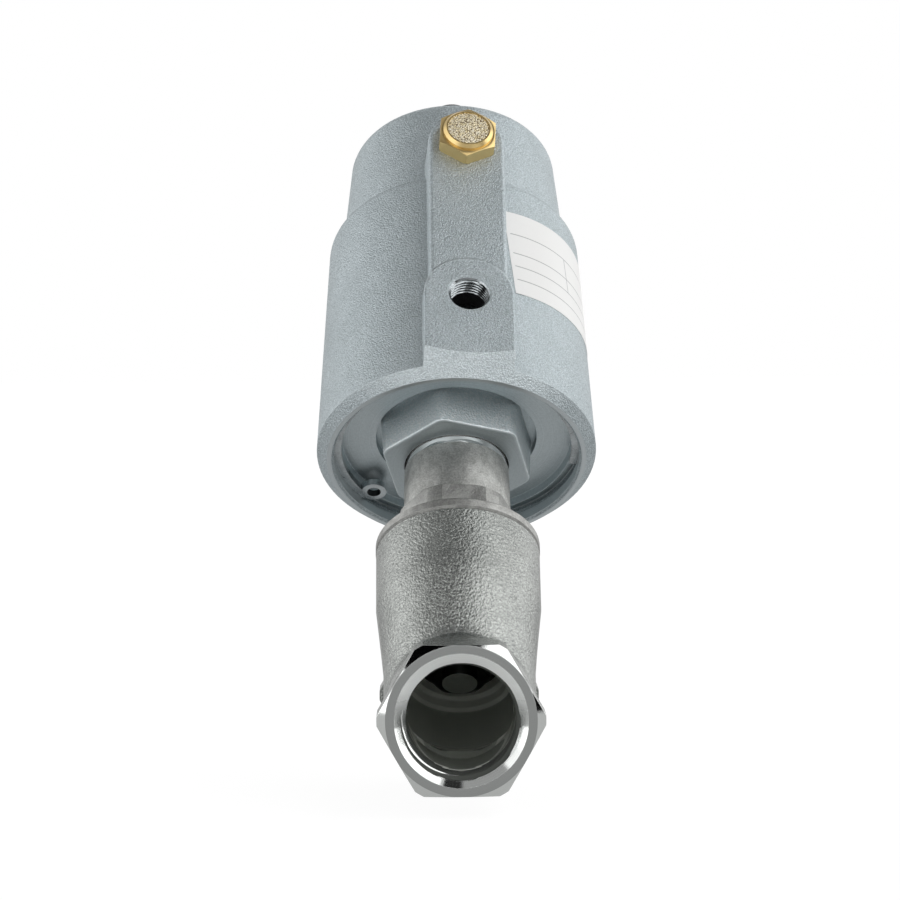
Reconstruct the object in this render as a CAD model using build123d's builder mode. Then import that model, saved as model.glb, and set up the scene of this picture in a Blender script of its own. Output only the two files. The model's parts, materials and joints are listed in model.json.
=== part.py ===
from build123d import *
import math
import os

# Pneumatic shut-off valve, angle-seat pattern, threaded ends, in millimetres.
# The origin is on the axis of the inlet port, where its thread begins inside the mouth's chamfer.
# The pipe runs along +Y. The stem leans towards the outlet and crosses the pipe axis half way.
# A height is a distance along the stem axis from that crossing.

# Pipe line
face_to_face = 75.0
lean_angle = 50.0
pipe_thread_radius = 13.22
pipe_thread_length = 16.0
pipe_mouth_radius = 14.65
hexagon_flats = 33.0
hexagon_corner = 1.95
hexagon_length = 14.8
hexagon_chamfer_angle = 30.0
run_radius = 16.6
run_overrun = 20.0
globe_radius = 17.3
flow_radius = 12.3

# Seat and neck of the body
seat_radius = 10.0
seat_height = 12.0
seat_thickness = 3.5
throat_radius = 11.0
throat_length = 2.6
inlet_well_radius = 12.0
inlet_well_depth = 8.0
inlet_well_chamfer = 4.0
seat_break = 0.6
seat_land = 1.2
seat_bevel = 0.8
thread_runout = 0.9
partition_wall = 2.2
chamber_radius = 14.6
neck_radius = 19.0
neck_taper_start = 8.0
neck_taper_end = 26.0
neck_height = 41.7
neck_edge = 0.4
neck_blend = 4.0
bonnet_thread_radius = 16.0
bonnet_thread_length = 10.2

# Bonnet
gasket_thickness = 1.5
pilot_length = 2.0
flange_radius = 19.1
flange_height = 2.8
flange_edge = 0.5
wrench_flats = 25.2
wrench_turned_radius = 13.6
wrench_height = 8.7
wrench_turn = 7.0
tube_radius = 12.5
tube_top_radius = 12.35
tube_length = 12.7
band_radius = 12.0
band_taper = 0.5
band_length = 2.0
cover_thread_radius = 11.0
stuffing_box_radius = 8.6
stuffing_box_rise = 9.0
lower_bush_radius = 7.0
lower_bush_length = 7.0

# Stem packing
stem_radius = 5.0
stem_fit = 0.08
stem_clearance = 0.25
ring_fit = 0.05
support_washer_height = 1.5
packing_spring_height = 9.0
packing_spring_wire = 0.8
packing_spring_turns = 4.0
thrust_washer_height = 1.5
adapter_height = 2.6
ring_pitch = 2.6
ring_depth = 0.9
ring_count = 4
gland_height = 10.6
gland_bush_wall = 1.6
gland_bush_height = 6.5
rod_seal_wire = 1.0
spanner_hole_radius = 0.9

# Actuator cover
boss_flats = 32.0
boss_turn = 18.3
boss_corner = 3.0
boss_draft = 3.0
boss_edge = 0.8
boss_height = 8.8
boss_recess_radius = 12.35
boss_recess_depth = 3.0
trough_radius = 19.1
trough_depth = 2.3
cover_radius = 29.0
cover_land_width = 1.8
cover_land_rise = 1.9
cover_land_slope = 0.4
cover_plate = 2.8
spigot_height = 3.7
spigot_edge = 0.4
o_ring_wire = 0.8

# Actuator housing
boss_proud = 2.1
housing_height = 93.1
rim_wall = 1.7
rim_cone = 2.4
shoulder_height = 64.5
skin_taper = 2.75
shoulder_step = 3.0
shoulder_edge = 3.0
crown_taper = 2.45
crown_edge = 4.0
mouth_chamfer = 0.6
ledge_width = 4.0
bore_fit = 0.1
bore_step = 3.8
spring_chamber_draft = 0.6
roof_thickness = 4.1
roof_boss_radius = 8.0
roof_boss_length = 4.0
rod_bore_radius = 2.6

# Connection rib
port_turn = 5.3
rib_proud = 1.7
rib_half_width = 9.2
rib_edge = 1.0
pad_proud = 0.2
pad_half_width = 10.6
air_port_rise = 22.4
silencer_port_rise = 70.3
drill_overrun = 3.0
port_thread_radius = 4.864
port_mouth_radius = 5.2
port_fit = 0.08

# Snap ring
snap_ring_proud = 1.2
snap_ring_width = 2.9
snap_ring_thickness = 1.7
snap_ring_eye_radius = 3.0
snap_ring_eye_hole_radius = 1.55
snap_ring_eye_depth = 4.7
snap_ring_eye_angle = -129.0
snap_ring_end_angle = 101.5
groove_fit = 0.1

# Silencer
silencer_flats = 13.2
silencer_turn = 27.2
silencer_foot_edge = 0.3
silencer_hexagon_edge = 0.5
silencer_shoulder = 0.3
silencer_hexagon_height = 3.6
silencer_collar_radius = 6.0
silencer_collar_height = 1.2
silencer_collar_edge = 0.7
silencer_shank_length = 7.3
silencer_bore_radius = 3.2
element_radius = 4.95
element_height = 1.8
element_drop = 0.05
element_seat_drop = 0.8
element_seat_width = 0.6

# Piston group
stroke = 10.0
disc_radius = 11.8
disc_height = 7.7
disc_edge = 2.5
seal_radius = 11.0
seal_thickness = 2.6
seal_lip = 0.6
seat_gap = 0.02
clamp_washer_radius = 9.3
clamp_washer_height = 1.3
shank_radius = 4.0
shank_fit = 0.05
nut_flats = 12.4
nut_height = 3.5
dead_space = 14.6
piston_height = 12.0
piston_edge = 0.5
piston_floor = 5.2
piston_hub_radius = 8.5
piston_hub_height = 9.2
piston_cup_wall = 4.3
piston_seal_depth = 2.3
piston_seal_height = 3.2
piston_seal_rise = 2.2
guide_ring_depth = 1.3
guide_ring_height = 3.0
guide_ring_rise = 7.4
piston_washer_radius = 7.5
piston_washer_height = 1.5
piston_nut_flats = 13.0
piston_nut_height = 6.5
shank_end = 1.5
rod_radius = 2.5
rod_head_radius = 4.2
rod_head_height = 2.4
rod_head_edge = 0.4
rod_head_gap = 0.4
rod_spigot_radius = 1.6
rod_spigot_length = 6.0

# Return springs
outer_spring_radius = 16.5
outer_spring_wire = 1.7
outer_spring_turns = 6.0
inner_spring_radius = 10.6
inner_spring_wire = 1.1
inner_spring_turns = 8.0

# Sight cap
cap_radius = 8.0
cap_height = 17.0
cap_sleeve_height = 13.7
cap_knob_radius = 5.4
cap_sleeve_edge = 0.8
cap_edge = 1.8
cap_spigot_radius = 6.5
cap_spigot_length = 2.9
cap_bore_radius = 5.4
cap_roof = 4.8
cap_seal_wire = 0.75

# Label
label_start_angle = 24.4
label_width = 58.0
label_height = 26.0
label_tilt = 5.0
label_thickness = 0.15
label_film = 0.03
label_rise = 42.8

# Heights that follow from the sizes above
half_length = face_to_face / 2
hexagon_turned_radius = hexagon_flats / 2 + hexagon_corner
mouth_depth = pipe_mouth_radius - pipe_thread_radius
flange_top = neck_height + flange_height
wrench_top = flange_top + wrench_height
tube_top = wrench_top + tube_length
cover_face = tube_top + band_length
plate_face = cover_face + boss_height
cover_land = plate_face - cover_land_rise
cover_ledge = plate_face + cover_plate
cover_top = cover_ledge + spigot_height
housing_face = cover_face + boss_proud
housing_top = housing_face + housing_height
cover_land_radius = cover_radius - cover_land_width
rim_ring_radius = cover_radius + rim_wall
rim_radius = rim_ring_radius + rim_cone
shoulder_lower_radius = rim_radius - skin_taper
shoulder_upper_radius = shoulder_lower_radius - shoulder_step
crown_radius = shoulder_upper_radius - crown_taper
bore_radius = cover_radius - ledge_width
spring_chamber_radius = bore_radius - bore_step
rib_distance = rim_radius + rib_proud
air_port_height = housing_face + air_port_rise
silencer_port_height = housing_face + silencer_port_rise
label_middle_height = housing_face + label_rise
snap_ring_radius = cover_radius + snap_ring_proud
snap_ring_inner = snap_ring_radius - snap_ring_width
snap_ring_eye_distance = snap_ring_radius - snap_ring_eye_depth
shoulder = housing_face + shoulder_height
roof = housing_top - roof_thickness
ledge = cover_ledge + groove_fit / 2
snap_ring_top = cover_land - groove_fit
snap_ring_bottom = snap_ring_top - snap_ring_thickness
body_ledge = neck_height - bonnet_thread_length
bonnet_bottom = body_ledge + gasket_thickness
stuffing_box_floor = bonnet_bottom + stuffing_box_rise
piston_bottom = cover_top + dead_space
piston_top = piston_bottom + piston_height
piston_floor_top = piston_bottom + piston_floor
hub_top = piston_bottom + piston_hub_height
piston_nut_bottom = hub_top + piston_washer_height
shank_top = piston_nut_bottom + piston_nut_height + shank_end
seal_face = seat_height + seat_gap
disc_bottom = seal_face + seal_lip
disc_top = disc_bottom + disc_height
nut_bottom = seal_face - clamp_washer_height - nut_height
cap_sleeve_top = housing_top + cap_sleeve_height
cap_top = housing_top + cap_height
cap_floor = housing_top - cap_spigot_length
cap_counterbore_floor = cap_floor - groove_fit
rod_head_bottom = cap_counterbore_floor + rod_head_gap

# Axes and planes
lean = math.radians(lean_angle)
crossing = Vector(0, half_length - mouth_depth, 0)
stem_direction = Vector(0, math.cos(lean), math.sin(lean))
front_direction = Vector(0, -math.sin(lean), math.cos(lean))
stem_axis = Axis(crossing, stem_direction)
inlet_face = Plane.XZ.offset(mouth_depth)
middle_plane = inlet_face.offset(-half_length)
pipe_plane = Plane(origin=inlet_face.origin, x_dir=(1, 0, 0), z_dir=(0, 0, 1))
section_plane = Plane(origin=crossing, x_dir=(1, 0, 0), z_dir=front_direction)
turn = math.radians(port_turn)
port_direction = front_direction * math.cos(turn) + Vector(1, 0, 0) * math.sin(turn)


def on_stem(height):
    """Point on the stem axis at a height."""
    return crossing + stem_direction * height


def cross_plane(height):
    """Plane across the stem axis at a height; its x is +X and it faces up the stem."""
    return Plane(origin=on_stem(height), x_dir=(1, 0, 0), z_dir=stem_direction)


def port_plane(height, distance):
    """Plane that faces out along the ports, at a height and a distance from the stem axis."""
    return Plane(
        origin=on_stem(height) + port_direction * distance,
        x_dir=port_direction.cross(stem_direction) * -1,
        z_dir=port_direction,
    )


def section(*outline):
    """Closed face from (radius, height) points on the section plane of the stem axis."""
    with BuildSketch(section_plane) as face:
        with BuildLine():
            Polyline(*outline, close=True)
        make_face()
    return face.sketch


def washer_section(inner, outer, bottom, top):
    """Rectangular section of a ring about the stem axis."""
    return section((inner, bottom), (outer, bottom), (outer, top), (inner, top))


def o_ring(middle_radius, height, wire):
    """O-ring about the stem axis."""
    with BuildPart() as ring:
        with BuildSketch(section_plane):
            with Locations((middle_radius, height)):
                Circle(wire)
        revolve(axis=stem_axis)
    return ring


def o_ring_groove(middle_radius, height, wire):
    """Square section of the groove that holds an O-ring."""
    room = wire + ring_fit
    return washer_section(middle_radius - room, middle_radius + room, height - room, height + room)


def turned_washer(inner, outer, bottom, top):
    """Plain ring about the stem axis."""
    with BuildPart() as ring:
        revolve(washer_section(inner, outer, bottom, top), axis=stem_axis)
    return ring


def pipe_section(*outline):
    """Closed face from (radius, distance from the inlet's end) points beside the pipe axis."""
    with BuildSketch(pipe_plane) as face:
        with BuildLine():
            Polyline(*outline, close=True)
        make_face()
    return face.sketch


def hexagon(plane, flats, turned=0.0):
    """Hexagon across its flats on a plane, with two corners on the plane's x axis before it is turned."""
    with BuildSketch(plane) as face:
        RegularPolygon(radius=flats / 2, side_count=6, major_radius=False, rotation=turned)
    return face.sketch


def coil(middle_radius, wire, turns, bottom, top):
    """Compression spring about the stem axis between two seats."""
    height = top - bottom - 2 * wire
    start = on_stem(bottom + wire)
    with BuildPart() as spring:
        with BuildLine() as path:
            Helix(
                pitch=height / turns,
                height=height,
                radius=middle_radius,
                center=start,
                direction=stem_direction,
            )
        with BuildSketch(Plane(origin=path.line @ 0, z_dir=path.line % 0)):
            Circle(wire)
        sweep(is_frenet=True)
    return spring


def hexagon_nut(flats, bottom, height):
    """Nut about the stem axis with turned corners."""
    corner = flats / 2 / math.cos(math.pi / 6)
    edge = corner - flats / 2
    with BuildPart() as nut:
        extrude(hexagon(cross_plane(bottom), flats), amount=height)
        revolve(
            section(
                (shank_radius + shank_fit, bottom),
                (flats / 2, bottom),
                (corner, bottom + edge / 2),
                (corner, bottom + height - edge / 2),
                (flats / 2, bottom + height),
                (shank_radius + shank_fit, bottom + height),
            ),
            axis=stem_axis,
            mode=Mode.INTERSECT,
        )
    return nut


os.makedirs("parts", exist_ok=True)

# Valve body: hexagon ends
hexagon_chamfer = (hexagon_turned_radius - hexagon_flats / 2) * math.tan(math.radians(hexagon_chamfer_angle))
with BuildPart() as hexagon_ends:
    extrude(hexagon(inlet_face, hexagon_flats), amount=-hexagon_length)
    revolve(
        pipe_section(
            (0, 0),
            (hexagon_flats / 2, 0),
            (hexagon_turned_radius, hexagon_chamfer),
            (hexagon_turned_radius, hexagon_length),
            (0, hexagon_length),
        ),
        axis=Axis.Y,
        mode=Mode.INTERSECT,
    )
    mirror(about=middle_plane)

# Valve body: the passage under the seat, and the passage from the seat to the outlet
with BuildPart() as inlet_passage:
    revolve(
        pipe_section((0, 0), (flow_radius, 0), (flow_radius, half_length), (0, half_length)),
        axis=Axis.Y,
    )
    seat_bottom = seat_height - seat_thickness
    throat_bottom = seat_bottom - throat_length
    revolve(
        section(
            (0, -inlet_well_depth),
            (inlet_well_radius - inlet_well_chamfer, -inlet_well_depth),
            (inlet_well_radius, inlet_well_chamfer - inlet_well_depth),
            (inlet_well_radius, throat_bottom),
            (throat_radius, throat_bottom + seat_break),
            (throat_radius, seat_bottom),
            (seat_radius, seat_bottom + seat_break),
            (seat_radius, seat_height + seat_break),
            (0, seat_height + seat_break),
        ),
        axis=stem_axis,
    )

with BuildPart() as outlet_passage:
    revolve(
        pipe_section(
            (0, half_length),
            (flow_radius, half_length),
            (flow_radius, face_to_face),
            (0, face_to_face),
        ),
        axis=Axis.Y,
    )
    revolve(
        washer_section(0, inlet_well_radius + partition_wall, -2 * run_radius, seat_height),
        axis=stem_axis,
        mode=Mode.SUBTRACT,
    )

with BuildPart() as valve_body:
    revolve(
        pipe_section(
            (0, hexagon_length / 2),
            (run_radius, hexagon_length / 2),
            (run_radius, face_to_face + run_overrun),
            (0, face_to_face + run_overrun),
        ),
        axis=Axis.Y,
    )
    with BuildSketch(section_plane):
        with BuildLine():
            globe = CenterArc((0, 0), globe_radius, -90, 90)
            Polyline(
                globe @ 1,
                (globe_radius, neck_taper_start),
                (neck_radius, neck_taper_end),
                (neck_radius, neck_height - neck_edge),
                (neck_radius - neck_edge, neck_height),
                (0, neck_height),
                globe @ 0,
            )
        make_face()
    revolve(axis=stem_axis)
    junction = [edge for edge in valve_body.edges() if edge.geom_type in (GeomType.BSPLINE, GeomType.ELLIPSE)]
    fillet(junction, neck_blend)
    revolve(
        pipe_section(
            (0, face_to_face),
            (hexagon_turned_radius, face_to_face),
            (hexagon_turned_radius, face_to_face + 2 * run_overrun),
            (0, face_to_face + 2 * run_overrun),
        ),
        axis=Axis.Y,
        mode=Mode.SUBTRACT,
    )
    add(hexagon_ends.part)
    add(inlet_passage.part, mode=Mode.SUBTRACT)
    add(outlet_passage.part, mode=Mode.SUBTRACT)
    revolve(
        section(
            (0, seat_height),
            (seat_radius, seat_height),
            (seat_radius + seat_land, seat_height),
            (seat_radius + seat_land + seat_bevel, seat_height - seat_bevel),
            (chamber_radius, seat_height - seat_bevel),
            (chamber_radius, body_ledge),
            (bonnet_thread_radius, body_ledge),
            (bonnet_thread_radius, neck_height),
            (0, neck_height),
        ),
        axis=stem_axis,
        mode=Mode.SUBTRACT,
    )
    thread_bore = pipe_section(
        (0, 0),
        (pipe_mouth_radius, 0),
        (pipe_thread_radius, mouth_depth),
        (pipe_thread_radius, pipe_thread_length),
        (flow_radius, pipe_thread_length + thread_runout),
        (0, pipe_thread_length + thread_runout),
    )
    revolve(thread_bore, axis=Axis.Y, mode=Mode.SUBTRACT)
    revolve(
        mirror(thread_bore, about=middle_plane, mode=Mode.PRIVATE),
        axis=Axis.Y,
        mode=Mode.SUBTRACT,
    )
valve_body.part.label = "valve_body"
export_step(valve_body.part, "parts/valve_body.step")

# Bonnet: threaded foot, round flange, wrench flats, tube and upper thread
upper_thread_bottom = cover_face + boss_recess_depth
bonnet_foot = bonnet_bottom - pilot_length
lower_bush_top = bonnet_foot + lower_bush_length
with BuildPart() as bonnet:
    revolve(
        section(
            (0, bonnet_foot),
            (chamber_radius - ring_fit, bonnet_foot),
            (chamber_radius - ring_fit, bonnet_bottom),
            (bonnet_thread_radius - ring_fit, bonnet_bottom),
            (bonnet_thread_radius - ring_fit, neck_height),
            (flange_radius - flange_edge, neck_height),
            (flange_radius, neck_height + flange_edge),
            (flange_radius, flange_top - flange_edge),
            (flange_radius - flange_edge, flange_top),
            (0, flange_top),
        ),
        axis=stem_axis,
    )
    extrude(hexagon(cross_plane(flange_top), wrench_flats, wrench_turn), amount=wrench_height)
    revolve(
        section(
            (0, bonnet_foot),
            (flange_radius, bonnet_foot),
            (flange_radius, flange_top),
            (wrench_turned_radius, flange_top),
            (wrench_turned_radius, wrench_top - flange_edge),
            (wrench_turned_radius - flange_edge, wrench_top),
            (0, wrench_top),
        ),
        axis=stem_axis,
        mode=Mode.INTERSECT,
    )
    revolve(
        section(
            (0, flange_top),
            (tube_radius, flange_top),
            (tube_radius, wrench_top),
            (tube_top_radius, tube_top),
            (band_radius - band_taper, tube_top),
            (band_radius, cover_face),
            (band_radius, upper_thread_bottom),
            (cover_thread_radius, upper_thread_bottom),
            (cover_thread_radius, cover_top),
            (0, cover_top),
        ),
        axis=stem_axis,
    )
    revolve(
        section(
            (0, bonnet_foot),
            (lower_bush_radius, bonnet_foot),
            (lower_bush_radius, lower_bush_top),
            (stem_radius + stem_clearance, lower_bush_top),
            (stem_radius + stem_clearance, stuffing_box_floor),
            (stuffing_box_radius, stuffing_box_floor),
            (stuffing_box_radius, cover_top),
            (0, cover_top),
        ),
        axis=stem_axis,
        mode=Mode.SUBTRACT,
    )
    bonnet_seal_height = cover_face + boss_recess_depth / 2
    bonnet_seal_radius = boss_recess_radius - ring_fit - o_ring_wire
    revolve(
        o_ring_groove(bonnet_seal_radius, bonnet_seal_height, o_ring_wire),
        axis=stem_axis,
        mode=Mode.SUBTRACT,
    )
bonnet.part.label = "bonnet"
export_step(bonnet.part, "parts/bonnet.step")

bonnet_seal = o_ring(bonnet_seal_radius, bonnet_seal_height, o_ring_wire)
bonnet_seal.part.label = "bonnet_seal"
export_step(bonnet_seal.part, "parts/bonnet_seal.step")

bonnet_gasket = turned_washer(chamber_radius, bonnet_thread_radius - ring_fit, body_ledge, bonnet_bottom)
bonnet_gasket.part.label = "bonnet_gasket"
export_step(bonnet_gasket.part, "parts/bonnet_gasket.step")

lower_bush = turned_washer(stem_radius + stem_fit, lower_bush_radius, bonnet_foot, lower_bush_top)
lower_bush.part.label = "lower_guide_bush"
export_step(lower_bush.part, "parts/lower_guide_bush.step")

# Stem packing, from the floor of the stuffing box up
packing_inner = stem_radius + stem_fit
packing_outer = stuffing_box_radius - ring_fit
spring_seat = stuffing_box_floor + support_washer_height
spring_end = spring_seat + packing_spring_height
adapter_bottom = spring_end + thrust_washer_height
rings_bottom = adapter_bottom + adapter_height
rings_top = rings_bottom + ring_count * ring_pitch
gland_bottom = rings_top + adapter_height
gland_top = gland_bottom + gland_height
ring_crest = (packing_inner + packing_outer) / 2

support_washer = turned_washer(packing_inner, packing_outer, stuffing_box_floor, spring_seat)
support_washer.part.label = "packing_support_washer"
export_step(support_washer.part, "parts/packing_support_washer.step")

packing_spring = coil(
    (packing_inner + packing_outer) / 2,
    packing_spring_wire,
    packing_spring_turns,
    spring_seat,
    spring_end,
)
packing_spring.part.label = "packing_spring"
export_step(packing_spring.part, "parts/packing_spring.step")

thrust_washer = turned_washer(packing_inner, packing_outer, spring_end, adapter_bottom)
thrust_washer.part.label = "packing_thrust_washer"
export_step(thrust_washer.part, "parts/packing_thrust_washer.step")

with BuildPart() as lower_adapter:
    revolve(
        section(
            (packing_inner, adapter_bottom),
            (packing_outer, adapter_bottom),
            (packing_outer, rings_bottom),
            (ring_crest, rings_bottom + ring_depth),
            (packing_inner, rings_bottom),
        ),
        axis=stem_axis,
    )
lower_adapter.part.label = "packing_lower_adapter"
export_step(lower_adapter.part, "parts/packing_lower_adapter.step")

for number in range(ring_count):
    low = rings_bottom + number * ring_pitch
    high = low + ring_pitch
    with BuildPart() as packing_ring:
        revolve(
            section(
                (packing_inner, low),
                (ring_crest, low + ring_depth),
                (packing_outer, low),
                (packing_outer, high),
                (ring_crest, high + ring_depth),
                (packing_inner, high),
            ),
            axis=stem_axis,
        )
    packing_ring.part.label = f"packing_ring_{number + 1}"
    export_step(packing_ring.part, f"parts/packing_ring_{number + 1}.step")

with BuildPart() as upper_adapter:
    revolve(
        section(
            (packing_inner, rings_top),
            (ring_crest, rings_top + ring_depth),
            (packing_outer, rings_top),
            (packing_outer, gland_bottom),
            (packing_inner, gland_bottom),
        ),
        axis=stem_axis,
    )
upper_adapter.part.label = "packing_upper_adapter"
export_step(upper_adapter.part, "parts/packing_upper_adapter.step")

gland_bush_outer = stem_radius + stem_fit + gland_bush_wall
gland_bush_top = gland_bottom + gland_bush_height
rod_seal_radius = stem_radius + stem_fit + rod_seal_wire
rod_seal_height = gland_bush_top + rod_seal_wire + ring_fit
with BuildPart() as gland_nut:
    revolve(
        section(
            (gland_bush_outer, gland_bottom),
            (packing_outer, gland_bottom),
            (packing_outer, gland_top),
            (stem_radius + stem_clearance, gland_top),
            (stem_radius + stem_clearance, gland_bush_top),
            (gland_bush_outer, gland_bush_top),
        ),
        axis=stem_axis,
    )
    revolve(
        o_ring_groove(rod_seal_radius, rod_seal_height, rod_seal_wire),
        axis=stem_axis,
        mode=Mode.SUBTRACT,
    )
    with BuildSketch(cross_plane(gland_top)):
        with PolarLocations((stem_radius + packing_outer) / 2, 2):
            Circle(spanner_hole_radius)
    extrude(amount=-spanner_hole_radius, mode=Mode.SUBTRACT)
gland_nut.part.label = "gland_nut"
export_step(gland_nut.part, "parts/gland_nut.step")

gland_bush = turned_washer(stem_radius + stem_fit, gland_bush_outer, gland_bottom, gland_bush_top)
gland_bush.part.label = "gland_bush"
export_step(gland_bush.part, "parts/gland_bush.step")

rod_seal = o_ring(rod_seal_radius, rod_seal_height, rod_seal_wire)
rod_seal.part.label = "rod_seal"
export_step(rod_seal.part, "parts/rod_seal.step")

# End cover with its hexagon boss
spigot_radius = bore_radius - bore_fit
cover_seal_radius = spigot_radius - o_ring_wire
cover_seal_height = cover_ledge + spigot_height / 2
with BuildPart() as end_cover:
    extrude(
        hexagon(cross_plane(cover_face), boss_flats, boss_turn),
        amount=boss_height + trough_depth,
        taper=-boss_draft,
    )
    boss_corners = [edge for edge in end_cover.edges() if abs((edge % 0.5).dot(stem_direction)) > 0.9]
    fillet(boss_corners, boss_corner)
    fillet(end_cover.faces().sort_by(stem_axis)[0].edges(), boss_edge)
    revolve(
        section(
            (0, plate_face + trough_depth),
            (trough_radius, plate_face + trough_depth),
            (trough_radius, plate_face),
            (cover_land_radius, plate_face),
            (cover_land_radius + cover_land_slope, cover_land),
            (cover_radius, cover_land),
            (cover_radius, cover_ledge),
            (spigot_radius, cover_ledge),
            (spigot_radius, cover_top - spigot_edge),
            (spigot_radius - spigot_edge, cover_top),
            (0, cover_top),
        ),
        axis=stem_axis,
    )
    revolve(
        o_ring_groove(cover_seal_radius, cover_seal_height, o_ring_wire),
        axis=stem_axis,
        mode=Mode.SUBTRACT,
    )
    revolve(
        section(
            (0, cover_face),
            (boss_recess_radius, cover_face),
            (boss_recess_radius, upper_thread_bottom),
            (cover_thread_radius + ring_fit, upper_thread_bottom),
            (cover_thread_radius + ring_fit, cover_top),
            (0, cover_top),
        ),
        axis=stem_axis,
        mode=Mode.SUBTRACT,
    )
end_cover.part.label = "end_cover"
export_step(end_cover.part, "parts/end_cover.step")

cover_seal = o_ring(cover_seal_radius, cover_seal_height, o_ring_wire)
cover_seal.part.label = "cover_seal"
export_step(cover_seal.part, "parts/cover_seal.step")

# Actuator housing: stepped cup, connection rib with a wide pad, two threaded ports
pad_distance = rib_distance + pad_proud
pad_front = port_plane(air_port_height, pad_distance)
rib_front = port_plane(silencer_port_height, rib_distance)
skirt = 2 * (rim_radius - rim_ring_radius) + pad_distance - rim_ring_radius
groove_bottom = snap_ring_bottom - groove_fit / 2
groove_top = snap_ring_top + groove_fit / 2
chamber_floor = shoulder - shoulder_edge / 2
bore_top = chamber_floor - (bore_radius - spring_chamber_radius)
with BuildPart() as housing:
    with BuildSketch(section_plane) as cup:
        with BuildLine():
            Polyline(
                (0, housing_face - skirt),
                (rim_radius, housing_face - skirt),
                (rim_radius, housing_face + rim_radius - rim_ring_radius),
                (shoulder_lower_radius, shoulder),
                (shoulder_upper_radius, shoulder),
                (crown_radius, housing_top),
                (0, housing_top),
                close=True,
            )
        make_face()
        shoulder_corner = cup.vertices().sort_by_distance((shoulder_lower_radius, shoulder))[0]
        fillet(shoulder_corner, shoulder_edge)
        crown_corner = cup.vertices().sort_by_distance((crown_radius, housing_top))[0]
        fillet(crown_corner, crown_edge)
    revolve(axis=stem_axis)
    with BuildSketch(rib_front):
        Circle(rib_half_width)
        with Locations((0, -(silencer_port_height - housing_face + skirt) / 2)):
            Rectangle(2 * rib_half_width, silencer_port_height - housing_face + skirt)
    extrude(amount=-rib_distance + spring_chamber_radius)
    fillet(housing.faces().sort_by(Axis(crossing, port_direction))[-1].edges(), rib_edge)
    with BuildSketch(pad_front):
        Circle(pad_half_width)
        with Locations((0, -(air_port_height - housing_face + skirt) / 2)):
            Rectangle(2 * pad_half_width, air_port_height - housing_face + skirt)
    extrude(amount=-(pad_distance - bore_radius - drill_overrun))
    fillet(housing.faces().sort_by(Axis(crossing, port_direction))[-1].edges(), rib_edge / 2)
    revolve(
        section(
            (0, housing_face - 2 * skirt),
            (rim_ring_radius + 2 * skirt, housing_face - 2 * skirt),
            (rim_ring_radius + 2 * skirt, housing_face + 2 * skirt),
            (rim_ring_radius, housing_face),
            (0, housing_face),
        ),
        axis=stem_axis,
        mode=Mode.SUBTRACT,
    )
    pocket_radius = cover_radius + bore_fit
    revolve(
        section(
            (0, housing_face),
            (pocket_radius + mouth_chamfer, housing_face),
            (pocket_radius, housing_face + mouth_chamfer),
            (pocket_radius, groove_bottom),
            (snap_ring_radius + groove_fit, groove_bottom),
            (snap_ring_radius + groove_fit, groove_top),
            (pocket_radius, groove_top),
            (pocket_radius, ledge),
            (bore_radius, ledge),
            (bore_radius, bore_top),
            (spring_chamber_radius, chamber_floor),
            (spring_chamber_radius - spring_chamber_draft, roof),
            (roof_boss_radius, roof),
            (roof_boss_radius, roof - roof_boss_length),
            (rod_bore_radius, roof - roof_boss_length),
            (rod_bore_radius, cap_counterbore_floor),
            (cap_spigot_radius + groove_fit, cap_counterbore_floor),
            (cap_spigot_radius + groove_fit, housing_top),
            (0, housing_top),
        ),
        axis=stem_axis,
        mode=Mode.SUBTRACT,
    )
    cap_seal_radius = cap_spigot_radius + groove_fit + cap_seal_wire
    cap_seal_height = housing_top - cap_seal_wire - ring_fit
    revolve(
        o_ring_groove(cap_seal_radius, cap_seal_height, cap_seal_wire),
        axis=stem_axis,
        mode=Mode.SUBTRACT,
    )
    with BuildSketch(pad_front):
        Circle(port_thread_radius)
    extrude(amount=-(pad_distance - bore_radius + drill_overrun), mode=Mode.SUBTRACT)
    with BuildSketch(pad_front):
        Circle(port_mouth_radius)
    extrude(amount=-(port_mouth_radius - port_thread_radius), taper=45, mode=Mode.SUBTRACT)
    with BuildSketch(rib_front):
        Circle(port_thread_radius + port_fit)
    extrude(amount=-(rib_distance - spring_chamber_radius + drill_overrun), mode=Mode.SUBTRACT)
housing.part.label = "actuator_housing"
export_step(housing.part, "parts/actuator_housing.step")

# Snap ring with one eye, in the housing's groove
with BuildPart() as snap_ring:
    with BuildSketch(cross_plane(snap_ring_bottom)):
        with BuildLine():
            start = snap_ring_end_angle - 90
            sweep_angle = snap_ring_end_angle - snap_ring_eye_angle
            outer_arc = CenterArc((0, 0), snap_ring_radius, start, -sweep_angle)
            inner_arc = CenterArc((0, 0), snap_ring_inner, start, -sweep_angle)
            Line(outer_arc @ 0, inner_arc @ 0)
            Line(outer_arc @ 1, inner_arc @ 1)
        make_face()
        with PolarLocations(snap_ring_eye_distance, 1, start_angle=snap_ring_eye_angle - 90):
            Circle(snap_ring_eye_radius)
            Circle(snap_ring_eye_hole_radius, mode=Mode.SUBTRACT)
    extrude(amount=snap_ring_thickness)
snap_ring.part.label = "snap_ring"
export_step(snap_ring.part, "parts/snap_ring.step")

# Silencer in the upper port
silencer_top = silencer_hexagon_height + silencer_collar_height
port_centre_axis = Axis(rib_front.origin, port_direction)
silencer_section = Plane(
    origin=rib_front.origin,
    x_dir=rib_front.x_dir,
    z_dir=rib_front.x_dir.cross(port_direction),
)


def silencer_profile(*outline):
    """Closed face from (radius, distance) points about the silencer's axis, from the rib's face out."""
    with BuildSketch(silencer_section) as face:
        with BuildLine():
            Polyline(*outline, close=True)
        make_face()
    return face.sketch


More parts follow.
